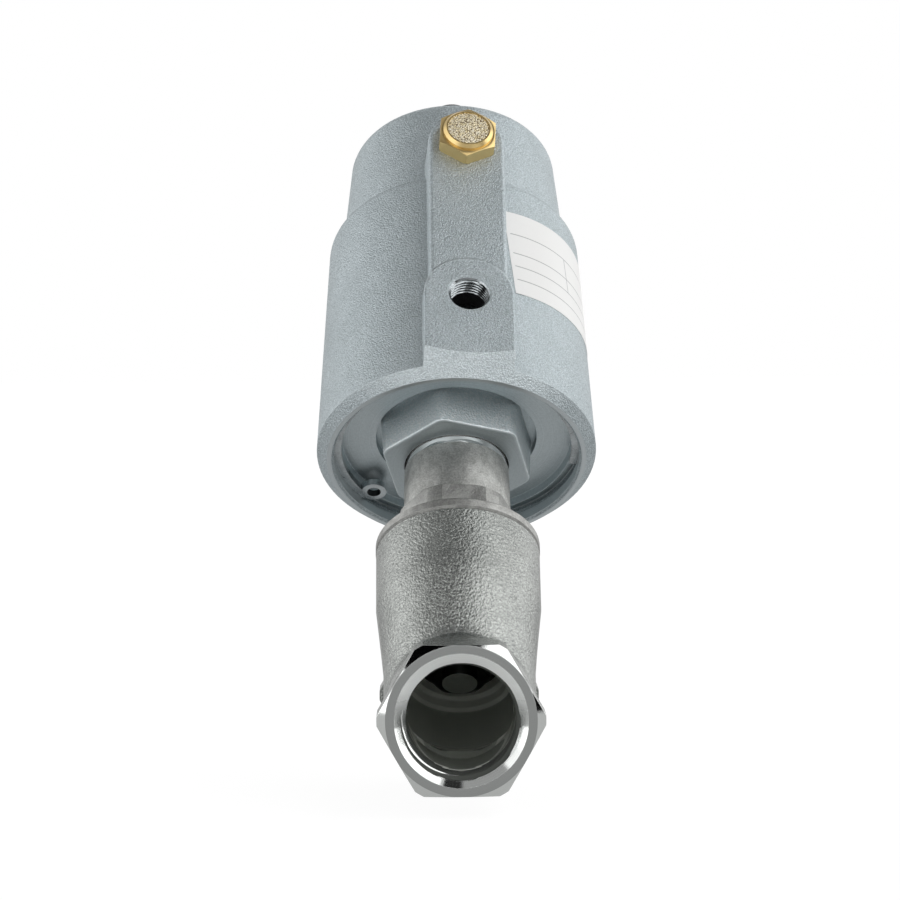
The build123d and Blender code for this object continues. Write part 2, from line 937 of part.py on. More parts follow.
silencer_corner = silencer_flats / 2 / math.cos(math.pi / 6)
element_bottom = silencer_top - element_drop - element_height
with BuildPart() as silencer_body:
    extrude(hexagon(rib_front, silencer_flats, silencer_turn), amount=silencer_hexagon_height)
    revolve(
        silencer_profile(
            (0, 0),
            (silencer_corner - silencer_foot_edge, 0),
            (silencer_corner, silencer_foot_edge),
            (silencer_corner, silencer_hexagon_height - silencer_hexagon_edge),
            (silencer_flats / 2 - silencer_shoulder, silencer_hexagon_height),
            (0, silencer_hexagon_height),
        ),
        axis=port_centre_axis,
        mode=Mode.INTERSECT,
    )
    revolve(
        silencer_profile(
            (0, -silencer_shank_length),
            (port_thread_radius - port_fit, -silencer_shank_length),
            (port_thread_radius, -silencer_shank_length + port_fit),
            (port_thread_radius, 0),
            (silencer_collar_radius, 0),
            (silencer_collar_radius, silencer_top - silencer_collar_edge),
            (silencer_collar_radius - silencer_collar_edge, silencer_top),
            (0, silencer_top),
        ),
        axis=port_centre_axis,
    )
    revolve(
        silencer_profile(
            (0, -silencer_shank_length),
            (silencer_bore_radius, -silencer_shank_length),
            (silencer_bore_radius, element_bottom - element_seat_drop),
            (element_radius - element_seat_width, element_bottom),
            (element_radius, element_bottom),
            (element_radius, silencer_top),
            (0, silencer_top),
        ),
        axis=port_centre_axis,
        mode=Mode.SUBTRACT,
    )
silencer_body.part.label = "silencer_body"
export_step(silencer_body.part, "parts/silencer_body.step")

with BuildPart() as silencer_element:
    revolve(
        silencer_profile(
            (0, element_bottom),
            (element_radius, element_bottom),
            (element_radius, element_bottom + element_height),
            (0, element_bottom + element_height),
        ),
        axis=port_centre_axis,
    )
silencer_element.part.label = "silencer_element"
export_step(silencer_element.part, "parts/silencer_element.step")

# Sight cap over the indicator rod
with BuildPart() as sight_cap:
    with BuildSketch(section_plane) as cap_outline:
        with BuildLine():
            Polyline(
                (cap_bore_radius, cap_floor),
                (cap_spigot_radius, cap_floor),
                (cap_spigot_radius, housing_top),
                (cap_radius, housing_top),
                (cap_radius, cap_sleeve_top),
                (cap_knob_radius, cap_sleeve_top),
                (cap_knob_radius, cap_top),
                (0, cap_top),
                (0, cap_top - cap_roof),
                (cap_bore_radius, cap_top - cap_roof),
                close=True,
            )
        make_face()
        knob_corner = cap_outline.vertices().sort_by_distance((cap_knob_radius, cap_top))[0]
        fillet(knob_corner, cap_edge)
        sleeve_corner = cap_outline.vertices().sort_by_distance((cap_radius, cap_sleeve_top))[0]
        fillet(sleeve_corner, cap_sleeve_edge)
    revolve(axis=stem_axis)
sight_cap.part.label = "sight_cap"
export_step(sight_cap.part, "parts/sight_cap.step")

cap_seal = o_ring(cap_seal_radius, cap_seal_height, cap_seal_wire)
cap_seal.part.label = "cap_seal"
export_step(cap_seal.part, "parts/cap_seal.step")

# Label on the wide part of the housing, a little askew
skin_slope = (rim_radius - shoulder_lower_radius) / (shoulder - housing_face - rim_radius + rim_ring_radius)


def skin_radius(height):
    """Radius of the housing's wide part at a height."""
    return shoulder_lower_radius + (shoulder - height) * skin_slope


label_bottom = label_middle_height - label_height
label_top = label_middle_height + label_height
label_arc = math.degrees(label_width / skin_radius(label_middle_height))
label_outward = front_direction.rotate(stem_axis, label_start_angle + label_arc / 2)
label_plane = Plane(origin=on_stem(label_middle_height), x_dir=stem_direction, z_dir=label_outward)
with BuildPart() as label:
    label_edge = section(
        (skin_radius(label_bottom) + label_film, label_bottom),
        (skin_radius(label_bottom) + label_film + label_thickness, label_bottom),
        (skin_radius(label_top) + label_film + label_thickness, label_top),
        (skin_radius(label_top) + label_film, label_top),
    )
    revolve(
        label_edge.rotate(stem_axis, label_start_angle - 90),
        axis=stem_axis,
        revolution_arc=label_arc,
    )
    with BuildSketch(label_plane):
        Rectangle(label_height, 3 * rim_radius, rotation=label_tilt)
    extrude(amount=2 * rim_radius, mode=Mode.INTERSECT)
label.part.label = "label"
export_step(label.part, "parts/label.step")

# Stem, from the disc nut's thread up to the tapped end for the indicator rod
with BuildPart() as stem:
    revolve(
        section(
            (0, nut_bottom - shank_end),
            (shank_radius, nut_bottom - shank_end),
            (shank_radius, disc_top),
            (stem_radius, disc_top),
            (stem_radius, piston_bottom),
            (shank_radius, piston_bottom),
            (shank_radius, shank_top),
            (rod_spigot_radius, shank_top),
            (rod_spigot_radius, shank_top - rod_spigot_length),
            (0, shank_top - rod_spigot_length),
        ),
        axis=stem_axis,
    )
stem.part.label = "stem"
export_step(stem.part, "parts/stem.step")

# Valve disc with its seat seal, clamp washer and nut
with BuildPart() as valve_disc:
    revolve(
        section(
            (shank_radius + shank_fit, seal_face + seal_thickness),
            (seal_radius + shank_fit, seal_face + seal_thickness),
            (seal_radius + shank_fit, disc_bottom),
            (disc_radius, disc_bottom),
            (disc_radius, disc_top - disc_edge),
            (disc_radius - disc_edge, disc_top),
            (shank_radius + shank_fit, disc_top),
        ),
        axis=stem_axis,
    )
valve_disc.part.label = "valve_disc"
export_step(valve_disc.part, "parts/valve_disc.step")

seat_seal = turned_washer(shank_radius + shank_fit, seal_radius, seal_face, seal_face + seal_thickness)
seat_seal.part.label = "seat_seal"
export_step(seat_seal.part, "parts/seat_seal.step")

clamp_washer = turned_washer(
    shank_radius + shank_fit,
    clamp_washer_radius,
    seal_face - clamp_washer_height,
    seal_face,
)
clamp_washer.part.label = "disc_washer"
export_step(clamp_washer.part, "parts/disc_washer.step")


disc_nut = hexagon_nut(nut_flats, nut_bottom, nut_height)
disc_nut.part.label = "disc_nut"
export_step(disc_nut.part, "parts/disc_nut.step")

# Piston with its seals, washer and nut
seal_low = piston_bottom + piston_seal_rise
guide_low = piston_bottom + guide_ring_rise
piston_radius = bore_radius - bore_fit
stem_seal_radius = shank_radius + shank_fit + o_ring_wire
stem_seal_height = piston_bottom + piston_floor / 2
with BuildPart() as piston:
    revolve(
        section(
            (shank_radius + shank_fit, piston_bottom),
            (piston_radius - piston_edge, piston_bottom),
            (piston_radius, piston_bottom + piston_edge),
            (piston_radius, seal_low),
            (piston_radius - piston_seal_depth, seal_low),
            (piston_radius - piston_seal_depth, seal_low + piston_seal_height),
            (piston_radius, seal_low + piston_seal_height),
            (piston_radius, guide_low),
            (piston_radius - guide_ring_depth, guide_low),
            (piston_radius - guide_ring_depth, guide_low + guide_ring_height),
            (piston_radius, guide_low + guide_ring_height),
            (piston_radius, piston_top),
            (piston_radius - piston_cup_wall, piston_top),
            (piston_radius - piston_cup_wall, piston_floor_top),
            (piston_hub_radius, piston_floor_top),
            (piston_hub_radius, hub_top),
            (shank_radius + shank_fit, hub_top),
        ),
        axis=stem_axis,
    )
    revolve(
        o_ring_groove(stem_seal_radius, stem_seal_height, o_ring_wire),
        axis=stem_axis,
        mode=Mode.SUBTRACT,
    )
piston.part.label = "piston"
export_step(piston.part, "parts/piston.step")

stem_seal = o_ring(stem_seal_radius, stem_seal_height, o_ring_wire)
stem_seal.part.label = "stem_seal"
export_step(stem_seal.part, "parts/stem_seal.step")

seal_root = piston_radius - piston_seal_depth
seal_tip = bore_radius - ring_fit
with BuildPart() as piston_seal:
    revolve(
        section(
            (seal_root, seal_low),
            ((seal_root + seal_tip) / 2, seal_low + piston_seal_height / 2),
            (seal_tip, seal_low),
            (seal_tip, seal_low + piston_seal_height),
            (seal_root, seal_low + piston_seal_height),
        ),
        axis=stem_axis,
    )
piston_seal.part.label = "piston_seal"
export_step(piston_seal.part, "parts/piston_seal.step")

guide_ring = turned_washer(
    piston_radius - guide_ring_depth,
    bore_radius - ring_fit,
    guide_low,
    guide_low + guide_ring_height,
)
guide_ring.part.label = "piston_guide_ring"
export_step(guide_ring.part, "parts/piston_guide_ring.step")

piston_washer = turned_washer(shank_radius + shank_fit, piston_washer_radius, hub_top, piston_nut_bottom)
piston_washer.part.label = "piston_washer"
export_step(piston_washer.part, "parts/piston_washer.step")

piston_nut = hexagon_nut(piston_nut_flats, piston_nut_bottom, piston_nut_height)
piston_nut.part.label = "piston_nut"
export_step(piston_nut.part, "parts/piston_nut.step")

# Indicator rod with its head under the sight cap
with BuildPart() as indicator_rod:
    revolve(
        section(
            (0, shank_top - rod_spigot_length + ring_fit),
            (rod_spigot_radius - ring_fit, shank_top - rod_spigot_length + ring_fit),
            (rod_spigot_radius - ring_fit, shank_top),
            (rod_radius, shank_top),
            (rod_radius, rod_head_bottom),
            (rod_head_radius, rod_head_bottom),
            (rod_head_radius, rod_head_bottom + rod_head_height - rod_head_edge),
            (rod_head_radius - rod_head_edge, rod_head_bottom + rod_head_height),
            (0, rod_head_bottom + rod_head_height),
        ),
        axis=stem_axis,
    )
indicator_rod.part.label = "indicator_rod"
export_step(indicator_rod.part, "parts/indicator_rod.step")

# Return springs between the piston and the roof of the housing
outer_spring = coil(outer_spring_radius, outer_spring_wire, outer_spring_turns, piston_floor_top, roof)
outer_spring.part.label = "outer_return_spring"
export_step(outer_spring.part, "parts/outer_return_spring.step")

inner_spring = coil(inner_spring_radius, inner_spring_wire, inner_spring_turns, piston_floor_top, roof)
inner_spring.part.label = "inner_return_spring"
export_step(inner_spring.part, "parts/inner_return_spring.step")
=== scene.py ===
"""Looks of a pneumatic shut-off valve with an inclined piston actuator.

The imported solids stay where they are. This file gives each of them a finish,
lays smooth copies over the visible ones, and adds threads, springs, the label
and the grains of the silencer.
"""
import json
import logging
import math
from dataclasses import dataclass, field
from enum import Enum
from typing import Sequence, Union

import bmesh
import bpy
import numpy as np
from mathutils import Matrix, Vector


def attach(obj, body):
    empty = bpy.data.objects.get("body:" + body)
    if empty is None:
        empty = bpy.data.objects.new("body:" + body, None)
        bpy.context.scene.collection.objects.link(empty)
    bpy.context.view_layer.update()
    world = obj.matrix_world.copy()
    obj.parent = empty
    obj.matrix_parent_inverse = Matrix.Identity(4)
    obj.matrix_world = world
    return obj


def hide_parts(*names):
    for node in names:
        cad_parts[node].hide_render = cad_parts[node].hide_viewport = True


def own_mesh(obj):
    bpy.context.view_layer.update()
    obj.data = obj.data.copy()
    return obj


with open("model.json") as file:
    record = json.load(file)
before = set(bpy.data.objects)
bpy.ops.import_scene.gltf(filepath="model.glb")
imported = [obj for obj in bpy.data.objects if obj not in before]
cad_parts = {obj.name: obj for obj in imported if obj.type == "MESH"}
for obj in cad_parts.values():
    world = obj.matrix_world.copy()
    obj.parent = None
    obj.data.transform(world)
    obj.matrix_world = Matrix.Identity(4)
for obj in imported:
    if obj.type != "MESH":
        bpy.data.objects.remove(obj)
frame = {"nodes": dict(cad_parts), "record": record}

log = logging.getLogger("valve")
MM = 0.001
RIGHT, AHEAD, UP = np.eye(3)
MOUNTS = {mount["name"]: mount for mount in frame["record"]["mounts"]}
Number = Union[float, "Wire"]
Colour = tuple[float, float, float]
Tones = tuple[Colour, Colour]


class Body(Enum):
    """Bodies of the valve that move against each other."""

    VALVE = "valve"
    HOUSING = "housing"
    STEM = "stem"


class Slot(Enum):
    """Material slots of the record."""

    CAST_STAINLESS = "cast_stainless"
    TURNED_STAINLESS = "turned_stainless"
    SPRING_STEEL = "spring_steel"
    CAST_ALUMINIUM = "cast_aluminium"
    COVER_ALUMINIUM = "cover_aluminium"
    BRASS = "brass"
    SINTERED_BRONZE = "sintered_bronze"
    SMOKED_PLASTIC = "smoked_plastic"
    LABEL_FILM = "label_film"
    PTFE = "ptfe"
    GUIDE_PLASTIC = "guide_plastic"
    SEAL_RUBBER = "seal_rubber"


# The axes


@dataclass(frozen=True)
class StemFrame:
    """The valve's inclined axis, with heights and radii in millimetres.

    Attributes:
        crossing: where the stem's axis meets the pipe's, in millimetres.
        along: direction of the stem, away from the seat.
        front: direction square to the stem, up and towards the inlet.
    """

    crossing: np.ndarray
    along: np.ndarray
    front: np.ndarray

    @classmethod
    def from_joint(cls, name: str) -> "StemFrame":
        """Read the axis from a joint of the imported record.

        Args:
            name: the joint that turns about the stem's axis.

        Returns:
            The stem's frame.
        """
        joint = next(j for j in frame["record"]["behaviour"]["joints"] if j["name"] == name)
        along = np.array(joint["axis"], float)
        along /= np.linalg.norm(along)
        return cls(np.array(joint["pos_m"], float) / MM, along, np.cross(RIGHT, along))

    def points(self, height: np.ndarray, radius: np.ndarray, angle: np.ndarray) -> np.ndarray:
        """Place cylinder coordinates about the stem in the shared frame.

        Formula: crossing + along * height + radius * (front * cos + side * sin).

        Args:
            height: distance along the stem from the crossing, in millimetres.
            radius: distance from the stem's axis, in millimetres.
            angle: turn from the front towards +X, in radians.

        Returns:
            Points in metres, with one more axis of length 3.
        """
        height, radius, angle = np.broadcast_arrays(height, radius, angle)
        radial = np.cos(angle)[..., None] * self.front + np.sin(angle)[..., None] * RIGHT
        return (self.crossing + height[..., None] * self.along + radius[..., None] * radial) * MM

    def at(self, height: float) -> tuple[float, float, float]:
        """Give the point of the axis at a height, in metres."""
        return tuple(float(v) for v in (self.crossing + height * self.along) * MM)


STEM = StemFrame.from_joint("housing_swivel")


@dataclass(frozen=True)
class PortFrame:
    """A port's axis with two directions square to it, in millimetres.

    Attributes:
        origin: a point on the axis.
        along: outward direction of the port.
        right: direction across, to the viewer's right.
        up: direction across, upwards.
    """

    origin: np.ndarray
    along: np.ndarray
    right: np.ndarray
    up: np.ndarray

    @classmethod
    def on_pipe(cls, mount: str) -> "PortFrame":
        """Read the axis of a pipe end from its mount.

        Args:
            mount: the mount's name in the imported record.

        Returns:
            The port's frame, whose origin is where the thread starts.
        """
        along = np.array(MOUNTS[mount]["axis"], float)
        return cls(np.array(MOUNTS[mount]["pos_m"], float) / MM, along, np.cross(UP, along), UP)

    @classmethod
    def on_rib(cls, height: float) -> "PortFrame":
        """Lay a port's axis through the stem's axis at a height, along the rib's ports.

        Args:
            height: height along the stem, in millimetres.

        Returns:
            The port's frame, whose origin lies on the stem's axis.
        """
        along = np.array(MOUNTS["air_port"]["axis"], float)
        return cls(STEM.crossing + height * STEM.along, along, np.cross(STEM.along, along), STEM.along)

    def points(self, depth: np.ndarray, radius: np.ndarray, angle: np.ndarray) -> np.ndarray:
        """Place cylinder coordinates about the port in the shared frame.

        Formula: origin + along * depth + radius * (right * cos + up * sin).

        Args:
            depth: distance outward along the axis, in millimetres.
            radius: distance from the axis, in millimetres.
            angle: turn from right towards up, in radians.

        Returns:
            Points in metres.
        """
        depth, radius, angle = np.broadcast_arrays(depth, radius, angle)
        radial = np.cos(angle)[..., None] * self.right + np.sin(angle)[..., None] * self.up
        return (self.origin + depth[..., None] * self.along + radius[..., None] * radial) * MM


INLET = PortFrame.on_pipe("inlet_port")
OUTLET = PortFrame.on_pipe("outlet_port")
AIR_PORT = PortFrame.on_rib(92.4)
SILENCER = PortFrame.on_rib(140.3)
# Distance of the air port's face from the stem's axis, in millimetres
SPOT_FACE = 34.66
# Distance, angle and a little more than the radius of the snap ring's eye
EYE_REACH = 25.5
EYE_ANGLE = math.radians(-129.0)
EYE_HOLE = 1.65
# Size of the label on the skin, in millimetres
LABEL_WIDTH = 58.0
LABEL_HEIGHT = 26.0


# Mesh building


def surface(name: str, rings: np.ndarray, *, caps: bool = True, wrap: bool = False) -> bpy.types.Object:
    """Join rows of points into one closed surface.

    Formula: quads between row i and row i + 1, columns j and j + 1, with the
    last column joined to the first. The first and last row are closed by a
    fan to their middle, or joined to each other where the surface wraps.

    Args:
        name: the piece's name.
        rings: points in metres, of shape (rows, columns, 3).
        caps: close the first and the last row with a fan.
        wrap: join the last row to the first.

    Returns:
        The new object, in the scene.
    """
    rows, columns = rings.shape[:2]
    points = rings.reshape(-1, 3)
    index = np.arange(rows * columns).reshape(rows, columns)
    upper = np.roll(index, -1, axis=0) if wrap else index[1:]
    lower = index if wrap else index[:-1]
    quads = np.stack((lower, np.roll(lower, -1, axis=1), np.roll(upper, -1, axis=1), upper), axis=-1)
    faces = quads.reshape(-1, 4).tolist()
    if caps and not wrap:
        points = np.vstack((points, rings[0].mean(axis=0), rings[-1].mean(axis=0)))
        first, last = rows * columns, rows * columns + 1
        start, end = index[0], index[-1]
        faces += np.stack((np.roll(start, -1), start, np.full(columns, first)), axis=-1).tolist()
        faces += np.stack((end, np.roll(end, -1), np.full(columns, last)), axis=-1).tolist()
    mesh = bpy.data.meshes.new(name)
    mesh.from_pydata(points.tolist(), [], faces)
    return settle(name, mesh)


def settle(name: str, mesh: bpy.types.Mesh, angle: float = 32.0) -> bpy.types.Object:
    """Turn a mesh's faces outwards, shade it and put it in the scene.

    Args:
        name: the piece's name.
        mesh: a closed mesh in metres.
        angle: edges sharper than this stay sharp, in degrees.

    Returns:
        The new object.
    """
    work = bmesh.new()
    work.from_mesh(mesh)
    bmesh.ops.remove_doubles(work, verts=work.verts, dist=1e-7)
    bmesh.ops.recalc_face_normals(work, faces=work.faces)
    work.to_mesh(mesh)
    work.free()
    mesh.shade_smooth()
    mesh.set_sharp_from_angle(angle=math.radians(angle))
    piece = bpy.data.objects.new(name, mesh)
    bpy.context.scene.collection.objects.link(piece)
    return piece


def read_points(mesh: bpy.types.Mesh) -> np.ndarray:
    """Read the points of a mesh.

    Args:
        mesh: a mesh in metres.

    Returns:
        The points in metres, one row each.
    """
    spots = np.empty(len(mesh.vertices) * 3)
    mesh.vertices.foreach_get("co", spots)
    return spots.reshape(-1, 3)


@dataclass(frozen=True)
class Corner:
    """The rounded corner of a knob on the stem's axis, in millimetres.

    Attributes:
        reach: distance of the arc's centre from the axis.
        height: height of the arc's centre along the stem.
        bend: radius of the arc.
        power: how square the corner becomes, where 2 keeps the arc.
    """

    reach: float
    height: float
    bend: float
    power: float = 8.0

    def square(self, mesh: bpy.types.Mesh) -> None:
        """Move the corner's points outwards until it is nearly square.

        Formula: a point of the arc lies in the direction (a, b) from the
        arc's centre, and moves out to bend / (a^power + b^power)^(1/power).

        Args:
            mesh: mesh in metres, which is changed.
        """
        spots = read_points(mesh)
        offset = spots / MM - STEM.crossing
        level = offset @ STEM.along
        away = offset - level[:, None] * STEM.along
        radius = np.linalg.norm(away, axis=1)
        side, top = np.maximum(radius - self.reach, 0.0), np.maximum(level - self.height, 0.0)
        length = np.hypot(side, top)
        arc = (np.abs(length - self.bend) < 0.05) & (side > 0.01) & (top > 0.01)
        side, top, length = side[arc], top[arc], length[arc]
        fall = (side / length) ** self.power + (top / length) ** self.power
        grow = self.bend / fall ** (1.0 / self.power) / length
        unit = away[arc] / radius[arc][:, None]
        out = unit * (self.reach + side * grow)[:, None]
        spots[arc] = (STEM.crossing + out + STEM.along * (self.height + top * grow)[:, None]) * MM
        mesh.vertices.foreach_set("co", spots.ravel())


KNOB_CORNER = Corner(3.6, 178.3, 1.8)


def smooth_copy(node: str, axles: Sequence["Axle"]) -> bpy.types.Object:
    """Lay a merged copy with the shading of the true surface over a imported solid.

    Args:
        node: the solid's name.
        axles: the axes about which parts of it were turned.

    Returns:
        The copy, which stands for the solid.
    """
    source = frame["nodes"][node]
    mesh = source.data.copy()
    mesh.materials.clear()
    work = bmesh.new()
    work.from_mesh(mesh)
    bmesh.ops.remove_doubles(work, verts=work.verts, dist=2e-7)
    bmesh.ops.dissolve_degenerate(work, edges=work.edges, dist=1e-8)
    bmesh.ops.triangulate(work, faces=work.faces)
    work.to_mesh(mesh)
    work.free()
    if node == "sight_cap":
        KNOB_CORNER.square(mesh)
    mesh.shade_smooth()
    mesh.normals_split_custom_set(true_normals(mesh, axles).tolist())
    piece = bpy.data.objects.new(f"{node}_skin", mesh)
    bpy.context.scene.collection.objects.link(piece)
    return piece


@dataclass(frozen=True)
class Axle:
    """An axis about which a surface was turned, in millimetres.

    Attributes:
        origin: a point of the axis.
        along: its direction.
    """

    origin: np.ndarray
    along: np.ndarray

    def radial(self, points: np.ndarray) -> np.ndarray:
        """Give the unit directions from the axis to points.

        Args:
            points: points in millimetres.

        Returns:
            Unit vectors square to the axis.
        """
        away = points - self.origin
        away = away - (away @ self.along)[:, None] * self.along
        return away / np.maximum(np.linalg.norm(away, axis=1), 1e-6)[:, None]


def flat_patches(faces: np.ndarray, normals: np.ndarray, count: int) -> np.ndarray:
    """Number the patches of faces that share edges and lie in one plane.

    Formula: each face starts with its own number, and neighbours whose normals
    agree to a third of a degree take the smaller number until none changes.

    Args:
        faces: vertex numbers of the triangles.
        normals: their unit normals.
        count: number of vertices.

    Returns:
        The patch number of each face.
    """
    low = np.minimum(faces, np.roll(faces, -1, axis=1)).ravel().astype(np.int64)
    high = np.maximum(faces, np.roll(faces, -1, axis=1)).ravel()
    key = low * count + high
    order = np.argsort(key, kind="stable")
    twin = key[order][1:] == key[order][:-1]
    first, second = order[:-1][twin] // 3, order[1:][twin] // 3
    flat = np.einsum("ij,ij->i", normals[first], normals[second]) > 0.99998
    first, second = first[flat], second[flat]
    label = np.arange(len(faces))
    while True:
        before = label.copy()
        lowest = np.minimum(label[first], label[second])
        np.minimum.at(label, first, lowest)
        np.minimum.at(label, second, lowest)
        label = label[label]
        if np.array_equal(before, label):
            return np.unique(label, return_inverse=True)[1].ravel()


# Area above which a flat or a turned patch outweighs small ones, in square millimetres
FULL_PATCH = 2.0
FULL_TURNED_PATCH = 1.0
# Widest facet of a turned surface, as the sine of its turn
WIDEST_FACET = 0.3
# Angle at which such a large patch stays sharp, in degrees
STRICT_CREASE = 4.0


def patch_sums(patch: np.ndarray, values: np.ndarray) -> np.ndarray:
    """Add up rows of three numbers by patch."""
    return np.stack([np.bincount(patch, values[:, k]) for k in range(3)], axis=-1)


def unit_rows(rows: np.ndarray) -> np.ndarray:
    """Scale each row to length 1."""
    return rows / np.maximum(np.linalg.norm(rows, axis=1), 1e-9)[:, None]


def shared_corners(vertex: np.ndarray, count: int) -> tuple[np.ndarray, np.ndarray]:
    """Pair every corner with each corner at the same vertex, itself among them.

    Formula: the corners are sorted by vertex, so those of one vertex form a
    run, and each corner walks through its vertex's run from the start.

    Args:
        vertex: the vertex of each corner.
        count: number of vertices.

    Returns:
        The first and the second corner of each pair.
    """
    order = np.argsort(vertex, kind="stable")
    counts = np.bincount(vertex, minlength=count)
    starts = np.cumsum(counts) - counts
    many = counts[vertex]
    mine = np.repeat(np.arange(len(vertex)), many)
    offset = np.arange(len(mine)) - np.repeat(np.cumsum(many) - many, many)
    return mine, order[np.repeat(starts[vertex], many) + offset]


def true_normals(mesh: bpy.types.Mesh, axles: Sequence[Axle], crease: float = 26.0) -> np.ndarray:
    """Work out the corner normals of the surface that a mesh of triangles stands for.

    Formula: a patch is turned where its normal, seen along an axle, points
    away from that axle within the patch's own angle; its normal is then kept
    as two parts, along and away, and swung to each corner. A corner takes the
    mean of the patches round its vertex within the crease angle, weighted by
    area, where large turned or flat patches outweigh the small ones.

    Args:
        mesh: merged triangles in metres.
        axles: the axes about which parts of it were turned.
        crease: patches that meet at more than this stay sharp, in degrees.

    Returns:
        One unit normal to each corner.
    """
    spots = read_points(mesh) / MM
    faces = np.empty(len(mesh.loops), dtype=np.int32)
    mesh.loops.foreach_get("vertex_index", faces)
    faces = faces.reshape(-1, 3)
    corner = spots[faces]
    across = np.cross(corner[:, 1] - corner[:, 0], corner[:, 2] - corner[:, 0])
    size = np.maximum(np.linalg.norm(across, axis=1), 1e-9)
    normals = across / size[:, None]
    patch = flat_patches(faces, normals, len(spots))
    area = np.bincount(patch, size / 2)
    facing = unit_rows(patch_sums(patch, across))
    middle = patch_sums(patch, size[:, None] * corner.mean(axis=1)) / (2 * area)[:, None]
    turned = np.full(len(area), -1)
    rank = np.where(area > FULL_PATCH, 2, 0)
    for number, axle in enumerate(axles):
        side = np.cross(axle.along, axle.radial(middle))
        owner = np.repeat(patch, 3)
        swing = np.einsum("ij,ij->i", axle.radial(corner.reshape(-1, 3)), side[owner])
        least, most = np.zeros(len(area)), np.zeros(len(area))
        np.minimum.at(least, owner, swing)
        np.maximum.at(most, owner, swing)
        level = facing @ axle.along
        spread = np.sqrt(1.0 - np.minimum(level**2, 0.9999))
        slip = np.einsum("ij,ij->i", facing, side) / np.maximum(spread, 0.02)
        room = 0.3 * (most - least) + 0.004
        fits = (np.abs(slip - (least + most) / 2) < room) & (most - least < WIDEST_FACET)
        fits &= (np.abs(level) < 0.9995) & (turned < 0)
        turned[fits] = number
        rank[fits] = np.where(area[fits] > FULL_TURNED_PATCH, 2, 1)
    vertex = faces.ravel()
    mine, theirs = shared_corners(vertex, len(spots))
    home, other = patch[mine // 3], patch[theirs // 3]
    given, held = facing[other], facing[home]
    for number, axle in enumerate(axles):
        radial = axle.radial(spots)[vertex[mine]]
        for swung, which in ((given, other), (held, home)):
            chosen = turned[which] == number
            level = facing[which[chosen]] @ axle.along
            reach = np.einsum("ij,ij->i", facing[which[chosen]], axle.radial(middle)[which[chosen]])
            swung[chosen] = unit_rows(level[:, None] * axle.along + reach[:, None] * radial[chosen])
    close = np.einsum("ij,ij->i", given, held)
    strict = rank[home] == 2
    flat_home = strict & (turned[home] < 0)
    reachable = close > np.cos(np.radians(np.where(strict, STRICT_CREASE, crease)))
    reachable &= ~flat_home | (home == other)
    reachable &= ~strict | (rank[other] == 2)
    weight = area[other] * 1e5 ** rank[other].astype(float) * np.clip(close, 0.0, 1.0) ** 60 * reachable
    total = np.stack([np.bincount(mine, weight * given[:, k], len(vertex)) for k in range(3)], axis=-1)
    length = np.linalg.norm(total, axis=1)
    plain = np.repeat(normals, 3, axis=0)
    return np.where(length[:, None] > 1e-12, total / np.maximum(length, 1e-12)[:, None], plain)


def install(
    piece: bpy.types.Object,
    body: Body,
    slot: Slot,
    finish: "Finish | None" = None,
    stands_for: str | None = None,
) -> bpy.types.Object:
    """Dress a new piece, fix it to its body and report it.

    Args:
        piece: the new piece.
        body: the body that carries it.
        slot: the record's slot of its finish.
        finish: its finish, where it isn't the slot's own.
        stands_for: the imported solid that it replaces.

    Returns:
        The same piece.
    """
    finish = finish or FINISHES[slot]
    piece.data.materials.clear()
    piece.data.materials.append(finish.material())
    if stands_for:
        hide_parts(stands_for)
    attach(piece, body.value)
    log.info("piece %s rides on %s with %s", piece.name, body.value, finish.name)
    return piece


# Shader writing


class Wire:
    """One output of a shader node, on which arithmetic adds Math nodes."""

    def __init__(self, sheet: "Sheet", socket: bpy.types.NodeSocket) -> None:
        """Hold the socket and the sheet that it belongs to."""
        self.sheet = sheet
        self.socket = socket

    def math(self, operation: str, *others: Number) -> "Wire":
        """Apply a Math operation with this wire as its first value."""
        return self.sheet.node("ShaderNodeMath", {"operation": operation}, dict(enumerate((self, *others))))

    def __add__(self, other: Number) -> "Wire":
        """Add."""
        return self.math("ADD", other)

    __radd__ = __add__

    def __sub__(self, other: Number) -> "Wire":
        """Subtract."""
        return self.math("SUBTRACT", other)

    def __rsub__(self, other: Number) -> "Wire":
        """Subtract this wire from a number."""
        return self.sheet.node("ShaderNodeMath", {"operation": "SUBTRACT"}, {0: other, 1: self})

    def __mul__(self, other: Number) -> "Wire":
        """Multiply."""
        return self.math("MULTIPLY", other)

    __rmul__ = __mul__

    def __pow__(self, other: Number) -> "Wire":
        """Raise to a power."""
        return self.math("POWER", other)

    def __abs__(self) -> "Wire":
        """Drop the sign."""
        return self.math("ABSOLUTE")

    def most(self, other: Number) -> "Wire":
        """Take the larger value."""
        return self.math("MAXIMUM", other)

    def step(self, start: float, end: float) -> "Wire":
        """Rise softly from 0 at start to 1 at end, or fall where end is smaller."""
        inputs = {"Value": self, "From Min": start, "From Max": end}
        return self.sheet.node("ShaderNodeMapRange", {"interpolation_type": "SMOOTHSTEP"}, inputs)

    def above(self, limit: float, soft: float) -> "Wire":
        """Give 1 above a limit and 0 below it, over a soft edge."""
        return self.step(limit - soft, limit + soft)

    def below(self, limit: float, soft: float) -> "Wire":
        """Give 1 below a limit and 0 above it, over a soft edge."""
        return self.step(limit + soft, limit - soft)

    def within(self, low: float, high: float, soft: float) -> "Wire":
        """Give 1 between two values and 0 outside, over a soft edge."""
        return self.above(low, soft) * self.below(high, soft)

    def where(self, mask: "Wire", other: Number) -> "Wire":
        """Turn into another value where a mask is 1."""
        return self * (1.0 - mask) + other * mask


